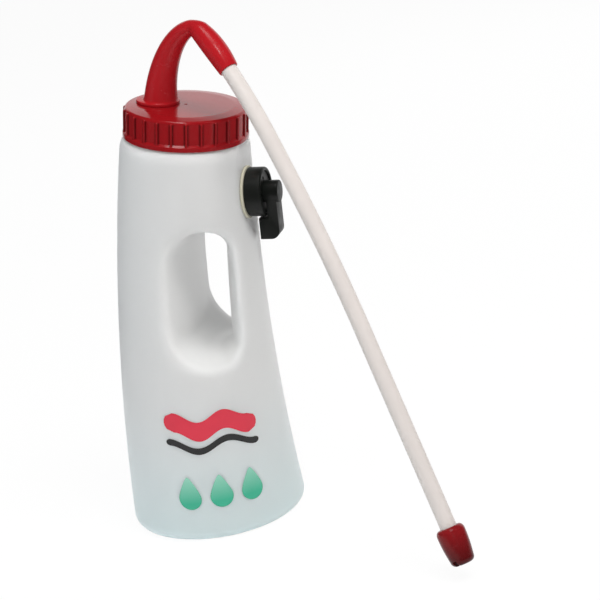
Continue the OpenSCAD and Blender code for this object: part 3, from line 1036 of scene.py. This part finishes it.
@dataclass
class ScrewCap:
    """Ribbed cap with a rounded crown, a lower rim, a thread and the hole for the spout."""

    radius: float = 0.045
    foot: float = 0.0008
    foot_drop: float = 0.0006
    top: float = 0.0228
    plate: float = 0.0026
    bore: float = 0.041
    wall: float = 0.0004
    bevel: float = 0.0005
    rim_height: float = 0.003
    panel_depth: float = 0.0015
    panel_slope: float = 0.0012
    panel_rows: int = 9
    end_rows: int = 7
    disc_radius: float = 0.0345
    band_radius: float = 0.0415
    band_drop: float = 0.0009
    crown_height: float = 0.0031
    crown_steps: int = 8
    crease: float = 0.0006
    rib_count: int = 26
    rib_half: float = 0.00115
    rib_drop: float = 0.00025
    rib_top: float = 0.0203
    rib_round: float = 0.0012
    rib_turn: float = math.radians(-3.7)
    gate_radius: float = 0.0012
    gate_taper: float = 0.8
    gate_depth: float = 0.0005
    spout_offset: float = 0.0206
    spout_hole: float = 0.0111
    thread_turns: float = 1.4
    # Reach of the painted shade on a rib and on the panel beside it, in rib half-widths.
    corner_shade_reach: Point = (0.8, 1.0)
    column_shares: tuple[float, ...] = (0.0, 0.26, 0.52, 0.74, 0.91, 1.0, 1.13, 1.39, 2.26)

    @property
    def panels(self) -> float:
        """Radius of the panels between the ribs."""
        return self.radius - self.panel_depth

    @property
    def pitch(self) -> float:
        """Angle from one rib to the next."""
        return 2 * math.pi / self.rib_count

    def side(self, z: float) -> float:
        """Gives the radius of the panels and of the rounded shoulder over them at a height.

        Args:
            z: Height in the neck's frame.

        Returns:
            The radius.
        """
        over = max(0.0, z - self.top + self.crown_height) / (self.crown_height - self.band_drop)
        inset = 1.0 - math.sqrt(max(0.0, 1.0 - over**2))
        return self.panels - (self.panels - self.band_radius) * inset

    def crown(self) -> list[Point]:
        """Lists the profile from the ribs' upper ends to the flat disc in the crown's middle.

        Returns:
            Radius and height of each point.
        """
        low = self.top - self.crown_height
        width, height = self.panels - self.band_radius, self.crown_height - self.band_drop
        start = math.degrees(math.asin((self.rib_top - low) / height))
        rise = self.band_drop / (self.band_radius - self.disc_radius) * self.crease
        return [
            *arc((self.band_radius, low), (width, height), start, 90, self.crown_steps)[1:],
            (self.band_radius - self.crease, self.top - self.band_drop + rise),
            (self.disc_radius + self.crease, self.top - rise),
            (self.disc_radius, self.top - rise / 4),
            (self.disc_radius - self.crease, self.top),
        ]

    def outline(self) -> list[Point]:
        """Lists the cap's profile, up the outside and down the inside.

        Returns:
            Radius and height of each point.
        """
        rim = self.foot + self.rim_height
        low = self.foot - self.foot_drop
        bevel = self.bevel
        plain = rim + self.panel_slope
        rounded = self.rib_top - self.rib_round
        rows = [plain + (rounded - plain) * k / self.panel_rows for k in range(self.panel_rows)]
        for k in range(self.end_rows + 1):
            rows.append(rounded + self.rib_round * math.sin(math.pi / 2 * k / self.end_rows))
        return [
            (self.bore, self.foot),
            *arc((self.radius - bevel, low + bevel), (bevel, bevel), 270, 360, 3),
            *arc((self.radius - bevel, rim - bevel), (bevel, bevel), 0, 60, 3),
            *[(self.side(z), z) for z in rows],
            *self.crown(),
            (self.gate_radius, self.top),
            (self.gate_radius * self.gate_taper, self.top - self.gate_depth),
            (0.0, self.top - self.gate_depth),
            (0.0, self.top - self.plate),
            (self.bore - bevel, self.top - self.plate),
            (self.bore, self.top - self.plate - bevel),
        ]

    def crest(self, z: float) -> float:
        """Gives the radius of a rib's crest at a height, where its upper end is rounded.

        Args:
            z: Height in the neck's frame.

        Returns:
            The radius.
        """
        over = max(0.0, z - self.rib_top + self.rib_round) / self.rib_round
        inset = 1.0 - math.sqrt(max(0.0, 1.0 - over**2))
        return self.radius - self.rib_drop - self.rib_round * inset

    def cap(self) -> BMesh:
        """Makes the cap in the neck's frame.

        Returns:
            The mesh.
        """
        half = len(self.column_shares)
        bm = spun(self.outline(), self.rib_count * 2 * half)
        asides = [share * self.rib_half for share in self.column_shares]
        asides.append(self.pitch * self.radius / 2)
        low, high = self.foot + self.rim_height, self.rib_top + MERGE_DISTANCE
        for vert in bm.verts:
            reach = math.hypot(vert.co.x, vert.co.y)
            if reach < self.gate_radius * 2:
                continue
            angle = math.atan2(vert.co.y, vert.co.x)
            number = round(angle / self.pitch)
            column = round((angle / self.pitch - number) * 2 * half)
            aside = math.copysign(asides[abs(column)], column)
            around = number * self.pitch + aside / self.radius + self.rib_turn
            if reach > self.bore + self.wall and low < vert.co.z < high:
                width = math.sqrt(max(0.0, 1.0 - (aside / self.rib_half) ** 2))
                reach += (self.crest(vert.co.z) - reach) * width
            vert.co.x = reach * math.cos(around)
            vert.co.y = reach * math.sin(around)
        bmesh.ops.recalc_face_normals(bm, faces=bm.faces)
        place = moved(-self.spout_offset, 0.0, self.top)
        made = drilled(bm, self.spout_hole, self.top, place)
        self.paint_corner_shade(made)
        return made

    def paint_corner_shade(self, bm: BMesh) -> None:
        """Marks the corners beside the ribs, where the finish paints shade.

        Args:
            bm: The cap in the neck's frame.
        """
        layer = bm.verts.layers.float.new(CORNER_SHADE_LAYER)
        low = self.foot + self.rim_height
        for vert in bm.verts:
            inside = math.hypot(vert.co.x, vert.co.y) < self.bore + self.wall
            if inside or not low < vert.co.z < self.rib_top:
                continue
            turn = (math.atan2(vert.co.y, vert.co.x) - self.rib_turn) / self.pitch
            share = abs(turn - round(turn)) * self.pitch * self.radius / self.rib_half
            reach = self.corner_shade_reach[0 if share < 1.0 else 1]
            end = min(1.0, (self.rib_top - vert.co.z) / self.rib_round)
            # Painted shade: darkest at each rib's foot, fading onto the rib, onto the panel and
            # towards the rib's upper end.
            vert[layer] = end * max(0.0, 1.0 - abs(share - 1.0) / reach)

    def build(self) -> None:
        """Builds the cap and its thread, which is half a lead off the neck's."""
        place = joint_frame(Joint.NECK)
        thread = Thread(self.bore, self.thread_turns, side=-1.0, late=0.5).mesh()
        piece("cap_shell", placed(self.cap(), place), RED_SHADED, Body.CAP, ["screw_cap"])
        piece("cap_thread", placed(thread, place), RED_SHADED, Body.CAP)


@dataclass
class BulbTip:
    """Bulb at the tube's end, with a notch across its outlet."""

    length: float = 0.0264
    radius: float = 0.010
    end_radius: float = 0.0084
    shoulder_radius: float = 0.007
    shoulder_share: float = 0.16
    taper_share: float = 0.86
    taper_rows: int = 8
    grip: float = 0.016
    socket: float = 0.00585
    outlet: float = 0.0036
    lip: float = 0.0012
    notch_width: float = 0.0034
    notch_depth: float = 0.004
    soft_edge: float = 0.0004
    round_steps: int = 96

    def build(self, place: Matrix) -> None:
        """Builds the tip.

        Args:
            place: Frame of its upper end, with +Z towards the outlet.
        """
        shoulder = self.length * self.shoulder_share
        taper = self.length * self.taper_share
        end = self.outlet + self.lip
        neck = self.radius - self.shoulder_radius
        shares = [k / self.taper_rows for k in range(1, self.taper_rows)]
        profile = [
            (self.socket, self.lip / 2),
            (self.socket + self.lip / 3, 0.0),
            *arc((self.shoulder_radius, shoulder), (neck, shoulder), 270, 360, 10),
            *[(self.radius + (self.end_radius - self.radius) * share**2,
               shoulder + (taper - shoulder) * share) for share in shares],
            *arc((end, taper), (self.end_radius - end, self.length - taper), 0, 90, 10),
            (self.outlet, self.length),
            (self.outlet, self.grip),
            (self.socket, self.grip),
        ]
        size = Matrix.Diagonal((self.notch_width, self.radius * 3, self.notch_depth * 2, 1.0))
        notch = bmesh.new()
        bmesh.ops.create_cube(notch, size=1.0, matrix=moved(z=self.length) @ size)
        bm = combined(spun(profile, self.round_steps), notch, Cut.TAKE_AWAY)
        bm = placed(softened(bm, self.soft_edge), place)
        piece("bulb_tip", bm, RED_SOFT_SHADED, Body.CAP, ["tip"])


@dataclass
class SwanNeck:
    """Hooked spout on a seat flange, with its passage, and the long tube that it carries.

    The hook is a row of circles: up a curved leg, in a fan about the bend's inner corner, and along
    an arm with a straight underside.
    """

    cap_top: float = 0.0228
    seat_offset: float = 0.0206
    turn: float = math.radians(-28)
    edge: float = 0.0005
    flange_radius: float = 0.0156
    flange_height: float = 0.0022
    spigot_radius: float = 0.011
    spigot_length: float = 0.0071
    inlet_radius: float = 0.008
    groove_middle: float = 0.0013
    groove_half: float = 0.0008
    groove_depth: float = 0.0015
    foot: Point = (0.0028, 0.00198)
    foot_fillet: tuple[Point, ...] = ((0.0004, 0.0007), (0.001, 0.00025), (0.002, 0.0))
    foot_turn: float = math.radians(1)
    leg_turn: float = math.radians(68.7)
    leg_pulls: Point = (0.0259, 0.0187)
    leg_radii: Radii = (0.012, 0.0086, 0.0055)
    leg_steps: int = 26
    corner: Point = (0.0353, 0.054)
    corner_gap: float = 0.0004
    bend_radii: Radii = (0.0055, 0.005, 0.0068)
    bend_steps: int = 14
    arm_radii: Radii = (0.0068, 0.0095, 0.0071)
    arm_steps: int = 18
    mouth: Point = (0.0687, 0.0369)
    mouth_turn: float = math.radians(132.53)
    mouth_radius: float = 0.0071
    mouth_lip: float = 0.0007
    wall: float = 0.0026
    passage_end: float = 0.52
    grip: float = 0.016
    tube_radius: float = 0.0058
    tube_bore: float = 0.0043
    tube_gap: float = 0.0003
    socket_gap: float = 0.00005
    upper_turn: float = math.radians(8.1)
    upper_length: float = 0.058
    middle_length: float = 0.0266
    lower_turn: float = math.radians(5.7)
    lower_length: float = 0.1182
    end_length: float = 0.1432
    bow_steps: int = 12

    def seat(self) -> Matrix:
        """Gives the frame of the spout's seat, with the hook in its X and Z."""
        middle = joint_frame(Joint.NECK) @ moved(-self.seat_offset, 0.0, self.cap_top)
        return middle @ turned(self.turn, "Z")

    @staticmethod
    def ahead(angle: float) -> Vector:
        """Gives the direction along the hook at an angle from upright."""
        return Vector((math.sin(angle), math.cos(angle)))

    @staticmethod
    def aside(angle: float) -> Vector:
        """Gives the direction to the hook's outer side at an angle from upright."""
        return Vector((-math.cos(angle), math.sin(angle)))

    @staticmethod
    def size(radii: Radii, share: float) -> float:
        """Gives the radius at a share of a stretch, from those at its start, pull and end."""
        rest = 1.0 - share
        return radii[0] * rest**2 + radii[1] * 2 * share * rest + radii[2] * share**2

    @staticmethod
    def place(spot: Vector, angle: float) -> Matrix:
        """Gives the frame at a point of the hook, with +Z along it."""
        return moved(spot.x, 0.0, spot.y) @ turned(angle, "Y")

    def leg_place(self, share: float) -> Matrix:
        """Gives the frame at a place along the leg.

        Args:
            share: Place along it, from 0 to 1.

        Returns:
            The frame, in the seat's frame.
        """
        a = Vector(self.foot)
        b = a + self.ahead(self.foot_turn) * self.leg_pulls[0]
        out = self.leg_radii[2] + self.corner_gap
        d = Vector(self.corner) + self.aside(self.leg_turn) * out
        c = d - self.ahead(self.leg_turn) * self.leg_pulls[1]
        rest = 1.0 - share
        spot = a * rest**3 + b * 3 * share * rest**2 + c * 3 * share**2 * rest + d * share**3
        way = (b - a) * rest**2 + (c - b) * 2 * share * rest + (d - c) * share**2
        return self.place(spot, math.atan2(way.x, way.y))

    def underside(self) -> Vector:
        """Gives the arm's straight underside, from the bend's corner to the mouth."""
        end = Vector(self.mouth) - self.aside(self.mouth_turn) * self.mouth_radius
        return end - Vector(self.corner)

    def curve(self, inset: float, end: float) -> list[Ring]:
        """Lists circles along the hook from its foot.

        Args:
            inset: Amount by which they are smaller than the outside.
            end: Place along the arm where they end.

        Returns:
            Frame and radius of each circle.
        """
        corner, under = Vector(self.corner), self.underside()
        arm_turn = math.atan2(under.x, under.y)
        rings = []
        for k in range(1, self.leg_steps):
            share = k / self.leg_steps
            rings.append((self.leg_place(share), self.size(self.leg_radii, share) - inset))
        for k in range(self.bend_steps):
            share = k / self.bend_steps
            angle = self.leg_turn + (arm_turn - self.leg_turn) * share
            size = self.size(self.bend_radii, share)
            spot = corner + self.aside(angle) * (size + self.corner_gap)
            rings.append((self.place(spot, angle), size - inset))
        for k in range(self.arm_steps + 1):
            share = end * k / self.arm_steps
            angle = arm_turn + (self.mouth_turn - arm_turn) * share
            size = self.size(self.arm_radii, share)
            out = self.aside(angle) * (size + self.corner_gap * (1.0 - share))
            rings.append((self.place(corner + under * share + out, angle), size - inset))
        return rings

    def base(self) -> list[Ring]:
        """Lists the circles of the spigot, its groove, the flange and the fillet over it.

        Returns:
            Frame and radius of each circle.
        """
        edge, low = self.edge, -self.spigot_length
        deep = self.spigot_radius - self.groove_depth
        under, over = -self.groove_middle - self.groove_half, -self.groove_middle + self.groove_half
        rim = self.flange_radius - edge
        profile = [
            (self.inlet_radius, low),
            (self.spigot_radius - edge, low),
            (self.spigot_radius, low + edge),
            (self.spigot_radius, under),
            (deep, under),
            (deep, over),
            (self.spigot_radius, over),
            (self.spigot_radius, 0.0),
            *arc((rim, edge), (edge, edge), 270, 360, 3),
            *arc((rim, self.flange_height - edge), (edge, edge), 0, 90, 3),
        ]
        foot = self.leg_place(0.0)
        fillet = [(foot @ moved(z=z), self.leg_radii[0] + grow) for z, grow in self.foot_fillet]
        return [*[(moved(z=z), r) for r, z in profile], *fillet]

    def hook(self) -> BMesh:
        """Makes the spout with its spigot, flange, hook and passage.

        Returns:
            The mesh, closed, in the seat's frame.
        """
        mouth = self.local_mouth()
        lip = arc((self.mouth_radius - self.mouth_lip, 0.0), (self.mouth_lip,) * 2, 0, 90, 4)
        socket = self.tube_radius + self.socket_gap
        inside = [(socket, self.mouth_lip), (socket, -self.grip), (self.tube_bore, -self.grip)]
        return lofted([
            *self.base(),
            *self.curve(0.0, 1.0)[2:-1],
            *[(mouth @ moved(z=z), r) for r, z in [*lip, *inside]],
            *reversed(self.curve(self.wall, self.passage_end)),
            (moved(), self.inlet_radius),
        ])

    def local_mouth(self) -> Matrix:
        """Gives the frame of the hook's mouth in the seat's frame, with +Z out of the mouth."""
        return self.place(Vector(self.mouth), self.mouth_turn)

    def stops(self) -> list[Matrix]:
        """Lists frames along the tube from the mouth to the tip, with +Z down the tube.

        Returns:
            The frames.
        """
        frames = [self.seat() @ self.local_mouth() @ turned(math.pi, "Z")]
        for angle, length, straight in (
            (self.upper_turn, self.upper_length, self.middle_length),
            (self.lower_turn, self.lower_length, self.end_length),
        ):
            bow = length / angle
            start = frames[-1]
            for k in range(1, self.bow_steps + 1):
                part = angle * k / self.bow_steps
                frames.append(start @ moved(-bow) @ turned(-part, "Y") @ moved(bow))
            frames.append(frames[-1] @ moved(z=straight))
        return frames

    def tube(self, tip_grip: float) -> BMesh:
        """Makes the tube with its bore.

        Args:
            tip_grip: Depth of the tube in the tip.

        Returns:
            The mesh, in place.
        """
        stops = self.stops()
        start = stops[0] @ moved(z=self.tube_gap - self.grip)
        frames = [start, *stops, stops[-1] @ moved(z=tip_grip - self.tube_gap)]
        outside = [(place, self.tube_radius) for place in frames]
        return lofted([*outside, *[(place, self.tube_bore) for place in reversed(frames)]])

    def build(self, tip: BulbTip) -> None:
        """Builds the spout, the tube and the tip.

        Args:
            tip: The tip that the tube carries.
        """
        hook = placed(self.hook(), self.seat())
        piece("swan_neck", hook, RED_BRIGHT, Body.CAP, ["spout"])
        piece("tube_run", self.tube(tip.grip), WHITE_TUBE, Body.CAP, ["drench_tube"])
        tip.build(self.stops()[-1])


@dataclass
class AirValve:
    """Rotary air valve: gasket, drum with a recessed face, and the lever on its hub."""

    gasket_radius: float = 0.0188
    gasket_bore: float = 0.0121
    gasket: float = 0.002
    gasket_edge: float = 0.0006
    drum_radius: float = 0.0176
    drum: float = 0.0124
    drum_edge: float = 0.0016
    back_share: float = 0.6
    inner_share: float = 0.5
    recess: float = 0.0036
    rim_width: float = 0.0026
    spigot_radius: float = 0.012
    spigot_end: float = -0.010
    stem_hole: float = 0.00355
    stem_radius: float = 0.0035
    stem_end: float = -0.0145
    plate_top: float = 0.01285
    hub_radius: float = 0.008
    hub_edge: float = 0.0009
    lever_length: float = 0.0336
    lever_width: float = 0.0135
    lever_rise: float = 0.0099
    lever_back: float = 0.0084
    lever_gap: float = 0.0006
    lever_clear: float = 0.0006
    lever_round: float = 0.0062
    lever_waist: float = 0.0016
    lever_edge: float = 0.0018
    round_steps: int = 96
    drum_steps: int = 128

    @property
    def face(self) -> float:
        """Height of the drum's face over the seat."""
        return self.gasket + self.drum

    def seal(self) -> BMesh:
        """Makes the gasket in the valve's frame.

        Returns:
            The mesh.
        """
        edge = self.gasket_edge
        outer = self.gasket_radius - edge
        return spun([
            (self.gasket_bore, 0.0),
            *arc((outer, edge), (edge, edge), 270, 360, 4),
            *arc((outer, self.gasket - edge), (edge, edge), 0, 90, 4),
            (self.gasket_bore, self.gasket),
        ], self.round_steps)

    def barrel(self) -> BMesh:
        """Makes the drum with its spigot in the valve's frame.

        Returns:
            The mesh.
        """
        face, edge = self.face, self.drum_edge
        floor = face - self.recess
        recess = self.drum_radius - self.rim_width
        back, inner = edge * self.back_share, edge * self.inner_share
        return spun([
            (self.stem_hole, self.spigot_end),
            (self.spigot_radius, self.spigot_end),
            (self.spigot_radius, self.gasket),
            *arc((self.drum_radius - back, self.gasket + back), (back, back), 270, 360, 4),
            *arc((self.drum_radius - edge, face - edge), (edge, edge), 0, 90, 6),
            *arc((recess + inner, face - inner), (inner, inner), 90, 180, 4),
            (recess, floor),
            (self.stem_hole, floor),
        ], self.drum_steps)

    def paddle(self) -> BMesh:
        """Makes the lever's arm in the valve's frame.

        Returns:
            The mesh.
        """
        over = self.face + self.lever_gap
        front = self.face + self.lever_rise - self.lever_waist
        step = self.drum_radius + self.lever_clear
        bend = self.lever_round
        outline = [
            (0.0, over),
            (0.0, front),
            *reversed(arc((self.lever_length - bend, front - bend), (bend, bend), 0, 90, 10)),
            (self.lever_length, self.lever_back),
            (step, self.lever_back),
            (step, over),
        ]
        bm = bmesh.new()
        side = bm.faces.new([bm.verts.new((x, -self.lever_width / 2, z)) for x, z in outline])
        swept = bmesh.ops.extrude_face_region(bm, geom=[side])
        new = [item for item in swept["geom"] if isinstance(item, bmesh.types.BMVert)]
        bmesh.ops.translate(bm, verts=new, vec=(0.0, self.lever_width, 0.0))
        return tidied(bm)

    def hub(self) -> BMesh:
        """Makes the hub and its stem in the valve's frame.

        Returns:
            The mesh.
        """
        front = self.face + self.lever_rise
        edge = self.hub_edge
        return spun([
            (0.0, self.stem_end),
            (self.stem_radius, self.stem_end),
            (self.stem_radius, self.plate_top),
            (self.hub_radius, self.plate_top),
            *arc((self.hub_radius - edge, front - edge), (edge, edge), 0, 90, 5),
            (0.0, front),
        ], self.round_steps, closed=False)

    def build(self) -> None:
        """Builds the gasket, the drum and the lever."""
        place = joint_frame(Joint.VALVE)
        seal, barrel = placed(self.seal(), place), placed(self.barrel(), place)
        piece("seat_gasket", seal, CREAM_SOFT, Body.BOTTLE, ["valve_gasket"])
        piece("valve_drum", barrel, BLACK_SATIN, Body.BOTTLE, ["valve_body"])
        lever = softened(combined(self.paddle(), self.hub(), Cut.JOIN), self.lever_edge)
        lever = placed(lever, place)
        piece("valve_handle", lever, BLACK_SATIN, Body.LEVER, ["valve_lever"])


@dataclass
class Print:
    """Plain screen print on the bottle's front: two waves over a row of drops."""

    bottle: Bottle
    middle: float = math.radians(-68)
    height: float = 0.0615
    lift: float = 0.00012
    width: float = 0.070
    wave: float = 0.0038
    wave_turns: float = 1.5
    wave_cells: tuple[int, int] = (60, 6)
    red_low: float = 0.0195
    red_high: float = 0.034
    black_low: float = 0.0095
    black_high: float = 0.0145
    drop_radius: float = 0.0085
    drop_tail: float = 0.0165
    drop_pitch: float = 0.0235
    drop_low: float = -0.036
    drop_pinch: float = 0.45
    drop_inset: float = 0.2
    drop_rings: int = 4

    def onto(self, bm: BMesh) -> BMesh:
        """Carries a flat print onto the bottle's side.

        Args:
            bm: Mesh with its way round in X and its height in Y.

        Returns:
            The same mesh, on the bottle.
        """
        for vert in bm.verts:
            s = self.height + vert.co.y
            reach = self.bottle.radius(s) + self.lift
            angle = self.middle + vert.co.x / reach
            vert.co = self.bottle.bent(reach * math.cos(angle), reach * math.sin(angle), s)
        bmesh.ops.recalc_face_normals(bm, faces=bm.faces)
        outwards = Vector((math.cos(self.middle), math.sin(self.middle), 0.0))
        if sum(face.normal.dot(outwards) for face in bm.faces) < 0:
            bmesh.ops.reverse_faces(bm, faces=bm.faces)
        return bm

    def band(self, low: float, high: float) -> BMesh:
        """Makes a wavy band with rounded ends.

        Args:
            low: Lower edge over the print's middle.
            high: Upper edge.

        Returns:
            The mesh, flat.
        """
        bm = bmesh.new()
        half, tall = self.width / 2, (high - low) / 2
        across_cells, up_cells = self.wave_cells
        bmesh.ops.create_grid(bm, x_segments=across_cells, y_segments=up_cells, size=1.0)
        for vert in bm.verts:
            across, up = vert.co.x, vert.co.y
            inset = tall * (1.0 - math.sqrt(1.0 - min(1.0, abs(up)) ** 2))
            wave = self.wave * math.sin(across * math.pi * self.wave_turns)
            vert.co = (across * (half - inset), (low + high) / 2 + up * tall + wave, 0.0)
        return bm

    def drop(self, across: float) -> BMesh:
        """Makes one drop.

        Args:
            across: Place of its middle.

        Returns:
            The mesh, flat.
        """
        bm = bmesh.new()
        bmesh.ops.create_circle(bm, segments=HOLE_STEPS, radius=self.drop_radius, cap_ends=True)
        for _ in range(self.drop_rings):
            outer = max(bm.faces, key=lambda f: len(f.verts))
            thickness = self.drop_radius * self.drop_inset
            bmesh.ops.inset_individual(bm, faces=[outer], thickness=thickness)
        for vert in bm.verts:
            if vert.co.y > 0.0:
                share = vert.co.y / self.drop_radius
                vert.co.x *= 1.0 - share**2 * self.drop_pinch
                vert.co.y *= 1.0 + share * (self.drop_tail / self.drop_radius - 1.0)
            vert.co.x += across
            vert.co.y += self.drop_low + self.drop_radius
        return bm

    def build(self) -> None:
        """Builds the bands and the drops."""
        red = self.onto(self.band(self.red_low, self.red_high))
        black = self.onto(self.band(self.black_low, self.black_high))
        piece("print_red_wave", red, RED_INK, Body.BOTTLE)
        piece("print_black_wave", black, BLACK_INK, Body.BOTTLE)
        for number in (-1, 0, 1):
            drop = self.onto(self.drop(number * self.drop_pitch))
            piece(f"print_drop_{number + 2}", drop, GREEN_INK, Body.BOTTLE)


@dataclass
class InnerParts:
    """Solids that keep their own shape and only get a finish."""

    finishes: dict[str, Finish] = field(default_factory=lambda: {
        "cap_seal": CREAM_SOFT,
        "spout_oring": BLACK_RUBBER,
        "spout_lock_ring": RED_SHADED,
        "valve_nut": BLACK_SATIN,
        "metering_disc": BLACK_SATIN,
        "stem_oring": BLACK_RUBBER,
        "spring_washer": STEEL,
        "stem_clip": STEEL,
    })

    def dress(self) -> None:
        """Gives each solid its finish."""
        for name, finish in self.finishes.items():
            materials = frame["nodes"][name].data.materials
            materials.clear()
            materials.append(finish.material())
            LOG.info("%s: dressed in %s", name, finish.name)


@dataclass(frozen=True)
class Lamp:
    """A soft round lamp.

    Args:
        name: Its name.
        spot: Where it hangs.
        size: Its width.
        power: Its power in watts.
        colour: Its colour.
        glossy: Whether it shows in the gloss.
    """

    name: str
    spot: Place
    size: float
    power: float
    colour: Colour = (1.0, 1.0, 1.0)
    glossy: bool = False

    def hang(self, aim: Vector) -> None:
        """Makes the lamp and points it at a place.

        Args:
            aim: The place.
        """
        data = bpy.data.lights.new(self.name, "AREA")
        data.shape = "DISK"
        data.size = self.size
        data.energy = self.power
        data.color = self.colour
        made = bpy.data.objects.new(self.name, data)
        bpy.context.scene.collection.objects.link(made)
        made.visible_glossy = self.glossy
        turn = (aim - Vector(self.spot)).to_track_quat("-Z", "Y")
        made.matrix_world = Matrix.Translation(self.spot) @ turn.to_matrix().to_4x4()


LAMPS = (
    Lamp("key_lamp", (1.0, -0.6, 2.05), 1.0, 30.5, (1.0, 0.99, 0.97)),
    Lamp("top_lamp", (0.1, -0.4, 2.0), 0.7, 7.0, glossy=True),
    Lamp("spark_lamp", (0.4, -1.1, 1.8), 0.3, 6.0, glossy=True),
    Lamp("front_lamp", (0.9, -1.8, 0.7), 0.8, 6.0),
    Lamp("side_lamp", (-1.5, -0.9, 0.4), 1.2, 9.0, (0.86, 0.95, 1.0)),
    Lamp("back_lamp", (0.2, 1.6, 0.9), 1.0, 6.0),
)


@dataclass
class Studio:
    """Camera at the photograph's viewing angle, pale floor and soft light."""

    eye: Place = (0.5241, -1.4297, 0.6433)
    azimuth: float = math.radians(17.0)
    elevation: float = math.radians(17.95)
    roll: float = math.radians(-9.13)
    focal_pixels: float = 2180.1
    image_pixels: float = 600.0
    sensor: float = 36.0
    floor_size: float = 8.0
    floor_colour: float = 0.9
    floor_roughness: float = 0.9
    floor_cells: int = 8
    floor_glow: float = 0.94
    hood_colour: float = 0.05
    hood_roughness: float = 1.0
    hood_rows: int = 6
    hood_steps: int = 32
    hood_reach: float = 2.4
    hood_gap: float = 0.42
    hood_turn: float = math.radians(45)
    hood_rise: float = 38.0
    hood_top: float = 88.0
    hood_base: float = 0.001
    ambient: float = 0.32
    aim: Place = (0.04, -0.03, 0.2)

    def camera(self) -> None:
        """Makes the camera."""
        data = bpy.data.cameras.new("camera")
        data.sensor_width = self.sensor
        data.lens = self.focal_pixels / self.image_pixels * self.sensor
        made = bpy.data.objects.new("camera", data)
        bpy.context.scene.collection.objects.link(made)
        level = turned(self.azimuth, "Z") @ turned(math.pi / 2 - self.elevation, "X")
        made.matrix_world = Matrix.Translation(self.eye) @ level @ turned(self.roll, "Z")
        bpy.context.scene.camera = made

    @staticmethod
    def staged(name: str, bm: BMesh, grey: float, roughness: float) -> bpy.types.Object:
        """Makes an object of the stage in a plain grey.

        Args:
            name: Its name.
            bm: Its mesh; it is freed.
            grey: Level of the grey.
            roughness: Roughness of its surface.

        Returns:
            The object.
        """
        made = scratch_object(bm)
        made.name = name
        material = bpy.data.materials.new(f"plain_{name}")
        material.use_nodes = True
        tree = material.node_tree
        feed(tree, tree.nodes["Principled BSDF"], {
            "Base Color": (grey, grey, grey, 1.0), "Roughness": roughness,
        })
        made.data.materials.append(material)
        return made

    def floor(self) -> None:
        """Makes the pale floor, which shows white to the camera and keeps a faint shadow."""
        bm = bmesh.new()
        cells = self.floor_cells
        bmesh.ops.create_grid(bm, x_segments=cells, y_segments=cells, size=self.floor_size / 2)
        made = self.staged("floor", bm, self.floor_colour, self.floor_roughness)
        tree = made.data.materials[0].node_tree
        glow = node(tree, "Emission", {}).outputs["Emission"]
        share = node(tree, "Math", {0: self.seen(tree), 1: self.floor_glow}, operation="MULTIPLY")
        mix = node(tree, "MixShader", {
            "Fac": share.outputs["Value"], 1: tree.nodes["Principled BSDF"].outputs["BSDF"], 2: glow,
        })
        feed(tree, tree.nodes["Material Output"], {"Surface": mix.outputs["Shader"]})

    def hood(self) -> None:
        """Makes a dark hood over and in front of the object, which shows in its gloss alone."""
        middle, reach = (0.0, self.hood_base), (self.hood_reach, self.hood_reach)
        front = arc(middle, reach, 0, self.hood_rise, self.hood_rows)
        front.insert(0, (self.hood_gap, self.hood_base))
        roof = arc(middle, reach, self.hood_rise, self.hood_top, self.hood_rows)
        start = turned(self.hood_turn, "Z")
        bm = bmesh.new()
        for profile, angle in ((front, math.pi + 2 * self.hood_turn), (roof, 2 * math.pi)):
            verts = [bm.verts.new(start @ Vector((away, 0.0, z))) for away, z in profile]
            edges = [bm.edges.new(pair) for pair in zip(verts, verts[1:])]
            bmesh.ops.spin(
                bm, geom=verts + edges, cent=(0.0, 0.0, 0.0), axis=(0.0, 0.0, -1.0), angle=angle,
                steps=self.hood_steps, use_merge=False,
            )
        made = self.staged("hood", bm, self.hood_colour, self.hood_roughness)
        for rays in ("camera", "diffuse", "transmission", "shadow"):
            setattr(made, f"visible_{rays}", False)

    @staticmethod
    def seen(tree: Tree) -> Socket:
        """Gives 1 for rays from the camera, from gloss and through clear things.

        Args:
            tree: Node tree to add to.

        Returns:
            The socket with the 1 or the 0.
        """
        path = node(tree, "LightPath", {})
        total = path.outputs["Is Camera Ray"]
        for kind in ("Is Glossy Ray", "Is Transmission Ray"):
            most = node(tree, "Math", {0: total, 1: path.outputs[kind]}, operation="MAXIMUM")
            total = most.outputs["Value"]
        return total

    def world(self) -> None:
        """Makes a white world that lights softly."""
        made = bpy.data.worlds.new("white_world")
        made.use_nodes = True
        tree = made.node_tree
        strength = node(tree, "MapRange", {
            "Value": self.seen(tree), "To Min": self.ambient, "To Max": 1.0,
        })
        feed(tree, tree.nodes["Background"], {
            "Color": (1.0, 1.0, 1.0, 1.0), "Strength": strength.outputs["Result"],
        })
        bpy.context.scene.world = made

    def build(self) -> None:
        """Builds the camera, the floor, the hood, the world and the lamps."""
        self.camera()
        self.floor()
        self.hood()
        self.world()
        for lamp in LAMPS:
            lamp.hang(Vector(self.aim))
        bpy.context.scene.view_settings.view_transform = "Standard"


def main() -> None:
    """Builds the drencher and its studio."""
    logging.basicConfig(level=logging.INFO, format="%(message)s")
    Studio().build()
    bottle = Bottle()
    bottle.build()
    ScrewCap().build()
    SwanNeck().build(BulbTip())
    AirValve().build()
    Print(bottle).build()
    InnerParts().dress()


if __name__ == "__main__":
    main()
